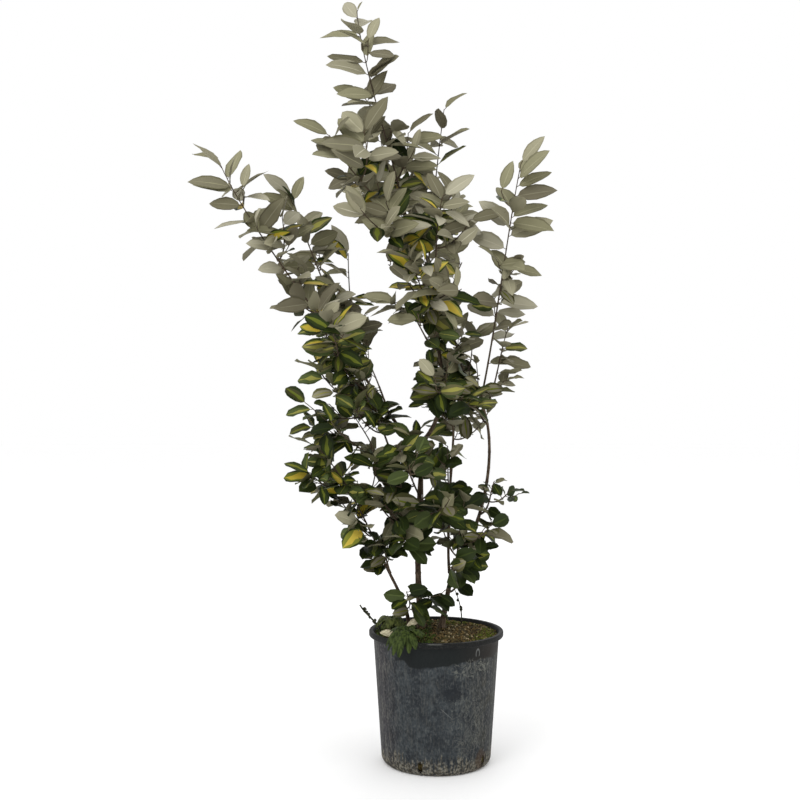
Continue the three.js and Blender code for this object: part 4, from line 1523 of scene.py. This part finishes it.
# %% [markdown]
# The plastic is charcoal with a cold tint. Years outdoors leave a mottled film with fine specks, upright
# scratches and streaks, most of them at the sides, chalky trails, a dark smudge in front, brown dirt on
# both sides, and dried mud near the ground. The wall is darker in a band under the lip, and a thin
# painted highlight runs along the top of the lip in front. Masks go by the way round the wall from the
# front, which is the angle times the wall's mean radius, and by the height, both in metres.

# %% The pot's weathered plastic
WALL_RADIUS = 0.115


def pot_finish():
    pot = Finish("pot_plastic", (46, 50, 53), 0.6, shine=0.14)
    rise, spot, coat = pot.rise, pot.spot, pot.coat
    place = pot.place()
    x, y, z = pot.split(place)
    way = x.maths("ARCTAN2", x, 0 - y) * WALL_RADIUS
    film = pot.cloud(place, 42, 6)
    mottles = pot.cloud(place, 190, 5)
    streaks = pot.cloud(pot.stretch(place, (1, 1, 0.12)), 150, 4)
    grit = pot.cloud(pot.stretch(place, (1, 1, 0.4)), 420, 3)
    scratches = pot.cloud(pot.stretch(place, (1, 1, 0.13)), 330, 3)
    grain = pot.cloud(place, 420, 3)
    right = rise(way, 0.02, 0.12) * rise(way, 0.34, 0.24)
    left = rise(way, -0.07, -0.13) * rise(way, -0.34, -0.24)

    coat(rise(film, 0.34, 0.66), (56, 61, 64), under=(36, 40, 44))
    coat(rise(mottles, 0.5, 0.7) * 0.45, (80, 84, 84))
    coat(rise(mottles, 0.5, 0.3) * 0.5, (23, 27, 31))
    coat(rise(scratches, 0.53, 0.7) * (0.25 + right * 0.4), (92, 92, 86))
    coat(left * 0.5, (54, 47, 50))
    worn_sides = 0.14 + (left + right) * 0.5
    coat(rise(streaks, 0.5, 0.66) * worn_sides, (90, 89, 84))
    coat(rise(streaks, 0.5, 0.36) * worn_sides, (30, 30, 32))
    coat(right * rise(film, 0.3, 0.75) * 0.7, (52, 50, 41))
    specks = 0.2 + (left + right) * 0.45
    coat(rise(grit, 0.55, 0.7) * specks, (104, 105, 101))
    coat(rise(grit, 0.5, 0.34) * (specks + 0.15), (22, 25, 28))

    edge = 0.212 - spot(way, z, (-0.018, 0.21), (0.05, 0.03)) * 0.009 + (film - 0.5) * 0.02
    band = rise(z, edge, edge + 0.004) * rise(way, -0.09, -0.07) * rise(way, 0.34, 0.24)
    coat(band * 0.94, pot.blend(right, (19, 23, 23), (33, 29, 25)))
    trails = rise(abs(pot.cloud(place, 50, 4, 1.4) - 0.5), 0.03, 0.008)
    near_band = spot(way, z, (0.068, 0.2), (0.06, 0.022)) * 0.5
    lower_down = spot(way, z, (0.06, 0.1), (0.05, 0.08)) * 0.25
    coat(trails * (near_band + lower_down), (116, 117, 109))
    ragged_way, ragged_z = way + (mottles - 0.5) * 0.04, z + (grain - 0.5) * 0.03
    coat(spot(ragged_way, ragged_z, (0.027, 0.154), (0.022, 0.017)) * 0.7, (20, 23, 28))
    slope = abs(z - 0.1295 + (way - 0.004) * 0.88)
    scratch = rise(slope, 0.0012, 0.0004) * rise(abs(way - 0.0145), 0.0105, 0.009)
    across, up = (way - 0.0765) / 0.004, (z - 0.226) / 0.009
    loop = rise(abs(across * across + up * up - 1), 0.6, 0.2) * rise(z, 0.22, 0.224)
    coat(scratch * 0.35 + loop * 0.5, (124, 126, 124))

    top = 0.02 + (scratches - 0.5) * 0.07 + (film - 0.5) * 0.05
    mud = rise(z, top + 0.012, top - 0.002) * rise(grit, 0.36, 0.52)
    coat(mud * 0.75, pot.blend(rise(mottles, 0.4, 0.6), (62, 57, 46), (126, 121, 108)))
    rust = spot(way, z + (mottles - 0.5) * 0.03, (0.1, 0.022), (0.02, 0.024))
    coat(rust * 0.55, (60, 44, 30))
    coat(rise(z, 0.2395, 0.241) * 0.9, pot.blend(rise(grain, 0.45, 0.65), (14, 15, 15), (36, 36, 34)))
    # A painted highlight: a thin pale line along the top of the lip in front.
    painted_lip_highlight = rise(abs(z - 0.2507), 0.0005, 0.0001) * rise(abs(way + 0.006), 0.014, 0.008)
    coat(painted_lip_highlight * 0.6, (160, 160, 154))
    pot.feed(pot.surface, {"Roughness": 0.5 + film * 0.25 + mud * 0.2})
    pot.bump(grain * 0.4 + scratches * 0.6, 0.0006)
    return pot.material


pot_mesh.materials.append(pot_finish())
add_piece("pot_shell", pot_mesh, "pot_plastic", "pot")
print("pot shell in place")

# %% [markdown]
# ## The soil
#
# The potting mix is dark peat. It is level round the stems and sinks towards the wall. The bed is a
# grid of rings with a little relief, which fades out round the stems.

# %% Shape the soil
SOIL = SimpleNamespace(
    flat_radius=72, sink=5, clearance=0.4, rings=34, spokes=120, relief=2.2, lump=14,
    lump_noise=(0.7, 2.0, 4), middle=0.3, calm_at=(-20, 25), calm=(6, 30),
)


def soil_height(radius):
    share = max(0, radius - SOIL.flat_radius) / (POT.neck - POT.wall - SOIL.flat_radius)
    return SOIL_TOP - SOIL.sink * share**2


def soil_section():
    """Radii and heights from the middle of the surface down to the bottom of the pot."""
    wall = wall_radius(SOIL_TOP - SOIL.sink) - POT.wall - SOIL.clearance
    clearance = POT.wall + SOIL.clearance
    top = [(r, soil_height(r)) for r in np.linspace(0, wall, SOIL.rings)]
    heel = (POT.heel - clearance, POT.heel_height)
    foot = (POT.foot - clearance, POT.floor + GAP)
    return top, [heel, foot]


def soil_mesh():
    top, below = soil_section()
    rings = top[1:] + below
    points = [(0, 0, SOIL_TOP)]
    for k, (radius, height) in enumerate(rings):
        for i in range(SOIL.spokes):
            a = 2 * math.pi * i / SOIL.spokes
            x, y = radius * math.cos(a), radius * math.sin(a)
            lumps = noise.fractal(Vector((x, y, 0)) / SOIL.lump, *SOIL.lump_noise)
            away = math.dist((x, y), SOIL.calm_at)
            calm = 0 if k >= len(top) - 1 else smooth(away, *SOIL.calm)
            points.append((x, y, height + (lumps - SOIL.middle) * SOIL.relief * calm))
    points.append((0, 0, POT.floor + GAP))
    spokes = SOIL.spokes
    faces = []
    for i in range(spokes):
        n = (i + 1) % spokes
        faces.append((0, 1 + i, 1 + n))
        for k in range(len(rings) - 1):
            a, b = 1 + k * spokes, 1 + (k + 1) * spokes
            faces.append((a + i, b + i, b + n, a + n))
        last = 1 + (len(rings) - 1) * spokes
        faces.append((last + n, last + i, len(points) - 1))
    mesh = make_mesh("soil_bed", points, faces)
    mesh.shade_smooth()
    return mesh


soil_bed = soil_mesh()
print("soil:", len(soil_bed.polygons), "faces")

# %% [markdown]
# Fine noise makes the peat lumpy, dark and light, and a coarse one turns its damp parts green.


# %% Finish the soil
def soil_finish():
    soil = Finish("potting_soil", (60, 52, 36), 0.95)
    place = soil.place()
    lumps = soil.cloud(place, 160, 6)
    damp = soil.cloud(place, 30, 3)
    soil.coat(soil.rise(lumps, 0.35, 0.65), (76, 66, 38), under=(30, 24, 12))
    soil.coat(soil.rise(damp, 0.45, 0.65) * 0.5, (50, 54, 22))
    soil.bump(lumps, 0.002)
    return soil.material


soil_bed.materials.append(soil_finish())
add_piece("soil_bed", soil_bed, "potting_soil", "soil")
print("soil bed in place")

# %% [markdown]
# Crumbs, bark chips, moss and small creeping weeds are one recipe with other numbers: points are
# spread over the soil, a small lump stands on each with a random turn and size, and the result is made
# real.

# %% A recipe for scattered lumps
FULL_TURN = 6.3
LONGER = 1.3


def lump_recipe():
    sizes = dict(density=20000.0, small=0.0006, large=0.002, flat=0.7)
    recipe = Recipe("scattered_lumps", **sizes, seed=1, finish=None)
    density = recipe.given("density") * recipe.stored("mask")
    inputs = {0: recipe.given(), "Density": density, "Seed": recipe.given("seed")}
    points = recipe.add("GeometryNodeDistributePointsOnFaces", inputs=inputs)
    lump = recipe.add("GeometryNodeMeshIcoSphere", inputs={"Radius": 1.0, "Subdivisions": 1})
    limits = {0: (0, 0, 0), 1: (FULL_TURN,) * 3, "Seed": 3}
    turn = recipe.add("FunctionNodeRandomValue", {"data_type": "FLOAT_VECTOR"}, limits)
    size_limits = {2: recipe.given("small"), 3: recipe.given("large"), "Seed": 5}
    size = recipe.add("FunctionNodeRandomValue", {"data_type": "FLOAT"}, size_limits, output=1)
    height = size * recipe.given("flat")
    scale = recipe.add("ShaderNodeCombineXYZ", inputs={0: size, 1: size * LONGER, 2: height})
    inputs = {"Points": points, "Instance": lump, "Rotation": turn, "Scale": scale}
    return recipe.finish(recipe.add("GeometryNodeInstanceOnPoints", inputs=inputs))


lumps = lump_recipe()
print("recipe", lumps.name, "with", len(lumps.tree.nodes), "nodes")

# %% [markdown]
# Points only fall where a mask on the soil is high. Nothing lies against a stem. Bark chips lie on the
# right half and creeping weeds cover the left one, crumbs and weeds in patches. Moss grows in cushions
# near the wall, on the right and at the back.

# %% Masks on the soil
STEM_ROOM = (8, 15)
CRUMB_PATCHES = (18, -0.6, 0.4)
CHIPS_FROM = (-5, 20)
MOSS = SimpleNamespace(corner=(78, 96), slant=0.3, behind=((48, 74), (0, 25)), thin=0.8, wall=(117, 110))
CREEPERS_FROM = (2, -22)
CREEPER_PATCHES = (26, -0.5, -0.1)


def masked_soil(name, mask_at):
    """A copy of the soil's surface with a mask stored on its points."""
    top, _ = soil_section()
    mesh = soil_bed.copy()
    mesh.name = name
    mask = mesh.attributes.new("mask", "FLOAT", "POINT")
    surface = 1 + (len(top) - 2) * SOIL.spokes
    values = []
    for i, vertex in enumerate(mesh.vertices):
        values.append(mask_at(vertex.co.x / MM, vertex.co.y / MM) if i < surface else 0.0)
    mask.data.foreach_set("value", values)
    return mesh


def clear_of_stems(x, y):
    """0 at a stem and 1 a little way off."""
    stems = (spec["at"] for spec in LIMBS.values() if spec["on"] == "soil")
    return smooth(min(math.dist((x, y), stem) for stem in stems), *STEM_ROOM)


def patches(x, y, size, low, high):
    return smooth(noise.noise(Vector((x, y, size)) / size), low, high)


def crumb_mask(x, y):
    return clear_of_stems(x, y) * patches(x, y, *CRUMB_PATCHES)


def chip_mask(x, y):
    return clear_of_stems(x, y) * smooth(x, *CHIPS_FROM)


def moss_mask(x, y):
    behind = smooth(y, *MOSS.behind[0]) * smooth(x, *MOSS.behind[1])
    corner = max(smooth(x - MOSS.slant * y, *MOSS.corner), MOSS.thin * behind)
    return corner * clear_of_stems(x, y) * smooth(math.hypot(x, y), *MOSS.wall)


def creeper_mask(x, y):
    return smooth(x, *CREEPERS_FROM) * clear_of_stems(x, y) * patches(x, y, *CREEPER_PATCHES)


print(f"creeping weeds 100 mm to the left of the middle: {creeper_mask(-100, 0):.2f}")

# %% [markdown]
# The four kinds of lumps differ in how thickly they lie, their sizes, how flat they are, and their
# two tones.


# %% Scatter the lumps
def lump_finish(name, dark, light, roughness=0.9, upright=1):
    """A dark tone with soft light patches, which `upright` below 1 draws out along the height."""
    lump = Finish(name, dark, roughness)
    mottles = lump.cloud(lump.stretch(lump.place(), (1, 1, upright)), 260, 2)
    lump.coat(lump.rise(mottles, 0.35, 0.65), light)
    return lump.material


SCATTERS = {
    "soil_crumbs": dict(
        mask=crumb_mask, tones=((28, 20, 9), (110, 92, 58)),
        sizes=dict(density=30000.0, small=0.001, large=0.0034, flat=0.8, seed=2),
    ),
    "bark_chips": dict(
        mask=chip_mask, tones=((88, 76, 50), (156, 142, 112)),
        sizes=dict(density=3800.0, small=0.0016, large=0.0042, flat=0.4, seed=7),
    ),
    "moss_cushions": dict(
        mask=moss_mask, tones=((44, 54, 12), (92, 98, 34)),
        sizes=dict(density=90000.0, small=0.0007, large=0.002, flat=1.3, seed=4),
    ),
    "creeping_weeds": dict(
        mask=creeper_mask, tones=((30, 42, 12), (72, 86, 36)), node="weed_patch", slot="weeds",
        sizes=dict(density=52000.0, small=0.0016, large=0.0044, flat=0.3, seed=9),
    ),
}
for name, scatter in SCATTERS.items():
    bed = masked_soil(name, scatter["mask"])
    finish = lump_finish(name, *scatter["tones"])
    mesh = made_by(lumps, name, bed, finish=finish, **scatter["sizes"])
    add_piece(name, mesh, scatter.get("slot", "potting_soil"), scatter.get("node", "soil"))
    print(f"{name}: {len(mesh.polygons)} faces")


# %% [markdown]
# ## Weeds
#
# Weeds have settled in the pot: a rosette of broad leaves that hangs over the front of the lip, a leafy
# tuft behind it, and a dry stalk at the left. Each leaf is a closed blade with a groove along its
# middle, narrow at its foot and blunt at its tip. It rises from the crown and arches over, and hangs
# down where it reaches past the lip. The leaves of the rosette crowd to the front.

# %% Shape a weed's leaf
TUFTS = {
    "weed_rosette": dict(
        at=(-58, -92), outward=(-0.3, -0.95), blades=13, reach=(26, 48), rise=28, width=10, drop=22,
        bunched=0.62, tones=((34, 45, 16), (66, 78, 36)),
    ),
    "weed_patch": dict(
        at=(-84, -22), outward=(-0.9, -0.4), blades=13, reach=(24, 35), rise=33, width=11, drop=-6,
        bunched=1, tones=((38, 45, 18), (78, 84, 42)),
    ),
}
WEED = SimpleNamespace(
    steps=9, crown=4.5, crown_room=5, broad=1.7, narrow=0.24, waist=0.92, taper=1.5, blunt=0.42,
    groove=0.35, keel=0.8, swing=0.3, reach=(0.78, 1.08), rise=(0.75, 1.08), end=0.5,
    handles=((0.9, 0.12), (1, 0.75)), past_lip=(131, 141), lip_rest=8, crease=60,
)


def foot_on(x, y, radius):
    return Vector((x, y, soil_height(math.hypot(x, y) - radius) + GAP))


def weed_blade(draws, tuft, crown, index):
    """The rows of one strap leaf: left edge, groove, right edge, and the keel under the groove."""
    facing = math.atan2(tuft["outward"][1], tuft["outward"][0])
    turn = 2 * math.pi * (index + draws.between(-WEED.swing, WEED.swing)) / tuft["blades"]
    turn = math.remainder(turn, 2 * math.pi)
    turn = facing + turn * mix(tuft["bunched"], 1, abs(turn) / math.pi)
    away = Vector((math.cos(turn), math.sin(turn), 0))
    over_rim = 0.5 + 0.5 * math.cos(turn - facing)
    reach = mix(*tuft["reach"], over_rim) * draws.between(*WEED.reach)
    rise = tuft["rise"] * draws.between(*WEED.rise)
    tip = crown + away * reach
    past_lip = smooth(math.hypot(tip.x, tip.y), *WEED.past_lip)
    end = mix(rise * WEED.end, mix(WEED.lip_rest, -tuft["drop"], past_lip), over_rim)
    handles = [crown + UP * (rise * up) + away * (out * reach) for up, out in WEED.handles]
    curve = bezier(crown, *handles, tip + UP * end, WEED.steps)
    side = away.cross(UP)
    rows = []
    for i, point in enumerate(curve):
        share = i / WEED.steps
        before = curve[max(0, i - 1)]
        after = curve[min(WEED.steps, i + 1)]
        face = side.cross((after - before).normalized())
        swell = math.sin(math.pi * (WEED.waist * share) ** WEED.taper)
        half = tuft["width"] / 2 * WEED.broad * mix(WEED.narrow, 1, swell)
        if share == 1:
            half *= WEED.blunt
        edge, lift = side * half, face * (-half * WEED.groove)
        rows.append((point - edge + lift, point, point + edge + lift, point + face * WEED.keel))
    return rows


print(sum(tuft["blades"] for tuft in TUFTS.values()), "long leaves on the weeds")

# %% [markdown]
# A second ring of shorter leaves fills the middle of each tuft. All the leaves of a tuft are joined in
# one mesh, whose faces are turned outwards.

# %% Make the tufts
INNER_RING = SimpleNamespace(reach=0.66, drop=-4, width=0.85)


def tuft_blades(tuft, seed):
    """The rows of every blade of a tuft, those of the source first and then the shorter ones."""
    crown = foot_on(*tuft["at"], WEED.crown_room) + UP * WEED.crown
    reach = [INNER_RING.reach * way for way in tuft["reach"]]
    drop, width = min(tuft["drop"], INNER_RING.drop), INNER_RING.width * tuft["width"]
    shorter = {**tuft, "reach": reach, "drop": drop, "width": width}
    for ring, ring_seed in ((tuft, seed), (shorter, seed + SEED_STEP)):
        draws = Draws(ring_seed)
        for index in range(ring["blades"]):
            yield weed_blade(draws, ring, crown, index)


def tuft_mesh(name, tuft, seed):
    points, faces = [], []
    for rows in tuft_blades(tuft, seed):
        first = len(points)
        for row in rows:
            points += row
        for i in range(len(rows) - 1):
            for a, b in ((0, 1), (1, 2), (2, 3), (3, 0)):
                low, high = first + 4 * i, first + 4 * (i + 1)
                faces.append((low + a, high + a, high + b, low + b))
        faces.append((first, first + 1, first + 2, first + 3))
        last = first + 4 * (len(rows) - 1)
        faces.append((last + 3, last + 2, last + 1, last))
    mesh = make_mesh(name, points, faces)
    form = bmesh.new()
    form.from_mesh(mesh)
    bmesh.ops.recalc_face_normals(form, faces=form.faces)
    form.to_mesh(mesh)
    form.free()
    return shade(mesh, WEED.crease)


for i, (name, tuft) in enumerate(TUFTS.items()):
    mesh = tuft_mesh(f"{name}_leaves", tuft, FIRST_SEED + i)
    mesh.materials.append(lump_finish(f"{name}_green", *tuft["tones"], roughness=0.6, upright=0.2))
    add_piece(f"{name}_leaves", mesh, "weeds", name)
    print(f"{name}: {len(mesh.polygons)} faces")


# %% [markdown]
# The dry stalk is a thin twig with a few withered bits, and a second one stands behind the right
# stem.

# %% Make the dry stalks
DRY_STALK = limb_on("soil", (-108, -20), (-147, -20, 303), (-3, 0, 22), (-12, 0, 22), r=(2.1, 1.4))
DRY_SHOOT = limb_on("soil", (52, 50), (38, 50, 322), (2, 0, 24), (-10, 0, 22), r=(1.5, 0.6))
DRY = SimpleNamespace(
    seed=42, sides=8, first_bit=0.36, last_bit=0.96, bit=((-8, 10), (-7, 7), (-9, 7)),
    bit_radii=(1.4, 3.4, 1.0),
)


def dry_stalk(name, spec, bits, *nodes):
    """A thin dead stem with withered bits along its upper part, and the nodes that it replaces."""
    handles = [Vector(spec[key]) for key in ("leave", "arrive", "tip")]
    foot = foot_on(*spec["at"], spec["r"][0])
    stem = Twig(foot, *handles, LIMB_STEP, LIMB_STEPS, spec["r"], UP.copy())
    paths = Paths()
    count = len(stem.points) - 1
    paths.add_run(stem.points, [stem.radius(i / count) for i in range(count + 1)])
    draws = Draws(DRY.seed)
    for k in range(bits):
        root = stem.along(mix(DRY.first_bit, DRY.last_bit, k / bits)).point
        tip = root + Vector([draws.between(*limits) for limits in DRY.bit])
        paths.add_run([root, root.lerp(tip, 0.5) + UP, tip], DRY.bit_radii)
    mesh = made_by(round_twigs, name, paths.mesh(name), sides=DRY.sides, finish=dry)
    add_piece(name, mesh, "weeds", *nodes)


dry = lump_finish("dry_stalk", (36, 38, 26), (66, 66, 50))
dry_stalk("weed_stalk_dry", DRY_STALK, 7, "weed_stalk")
dry_stalk("weed_shoot_dry", DRY_SHOOT, 4)
print("dry stalks in place")

# %% [markdown]
# Two pale fallen leaves lie on the weeds. They have the shape of the leaves of the crown, and one
# plain finish all over.

# %% Lay the fallen leaves
FALLEN = (
    dict(at=(-90, -66), above=10, turn=-16, tilt=-0.1, size=54, broad=0.46),
    dict(at=(-42, -36), above=24, turn=24, tilt=0.55, size=58, broad=0.34),
)
FALLEN_SEED = 70
FALLEN_MIDDLE = 0.35
FALLEN_CURL = 0.03

pale = lump_finish("fallen_leaf", (158, 149, 122), (206, 198, 170), roughness=0.7)
blades = Blades()
for i, fallen in enumerate(FALLEN):
    turn = math.radians(fallen["turn"])
    direction = Vector((math.cos(turn), math.sin(turn), fallen["tilt"])).normalized()
    middle = Vector((*fallen["at"], soil_height(math.hypot(*fallen["at"])) + fallen["above"]))
    root = middle - direction * (STALK_LENGTH + fallen["size"] * FALLEN_MIDDLE)
    size, width = fallen["size"], fallen["size"] * fallen["broad"]
    leaf = Leaf(root, direction, square_to(LIGHT, direction), size, width, FALLEN_CURL, share=0.5)
    blades.add_leaf(leaf, Draws(FALLEN_SEED + i))
blades.face_tints = [pale] * len(blades.face_tints)
add_piece("fallen_leaves", blades.mesh("fallen_leaves"), "weeds")
print(len(FALLEN), "fallen leaves")

# %% [markdown]
# ## Floor and light
#
# The picture was taken in soft, even light against white. A white floor runs out behind the plant, the
# world is white, and three large lamps give a soft shape: a key from the upper left in front, a weaker
# fill from the right, and one behind that parts the leaves from each other.

# %% Lay the floor
FLOOR_SIZE = 30

floor_mesh = bpy.data.meshes.new("floor")
half = FLOOR_SIZE / 2
corners = [(-half, -half, 0), (half, -half, 0), (half, half, 0), (-half, half, 0)]
floor_mesh.from_pydata(corners, [], [(0, 1, 2, 3)])
floor_mesh.materials.append(Finish("white_floor", (255, 255, 255), 0.9).material)
floor = add_object("floor", floor_mesh)
floor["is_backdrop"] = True
print("floor", FLOOR_SIZE, "m wide")

# %% Light the scene
LAMPS = {
    "key": ((-1.6, -2.4, 2.6), 1.8, 30),
    "fill": ((2.2, -1.8, 1.6), 2.2, 8),
    "back": ((0.6, 2.4, 2.4), 2.0, 12),
}
LOOK_AT = Vector((-0.06, 0, 0.75))


def add_lamp(name, place, size, power):
    lamp = bpy.data.lights.new(name, "AREA")
    lamp.shape = "DISK"
    lamp.size = size
    lamp.energy = power
    holder = add_object(name, lamp)
    holder.location = place
    holder.rotation_euler = (LOOK_AT - Vector(place)).to_track_quat("-Z", "Y").to_euler()


for name, (place, size, power) in LAMPS.items():
    add_lamp(name, place, size, power)
world = bpy.data.worlds.new("studio")
world.use_nodes = True
background = world.node_tree.nodes["Background"]
background.inputs["Color"].default_value = (1, 1, 1, 1)
background.inputs["Strength"].default_value = 1.0
bpy.context.scene.world = world
bpy.context.scene.view_settings.view_transform = "Standard"
print(len(LAMPS), "lamps")

# %% [markdown]
# The last step sets the dressed model's box against that of the solids.

# %% Measure and finish
shown_low, shown_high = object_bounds()
sizes = {
    "cad": [list(solid_low), list(solid_high)],
    "visual": [list(shown_low), list(shown_high)],
}
print("solids", sizes["cad"])
print("dressed", sizes["visual"])
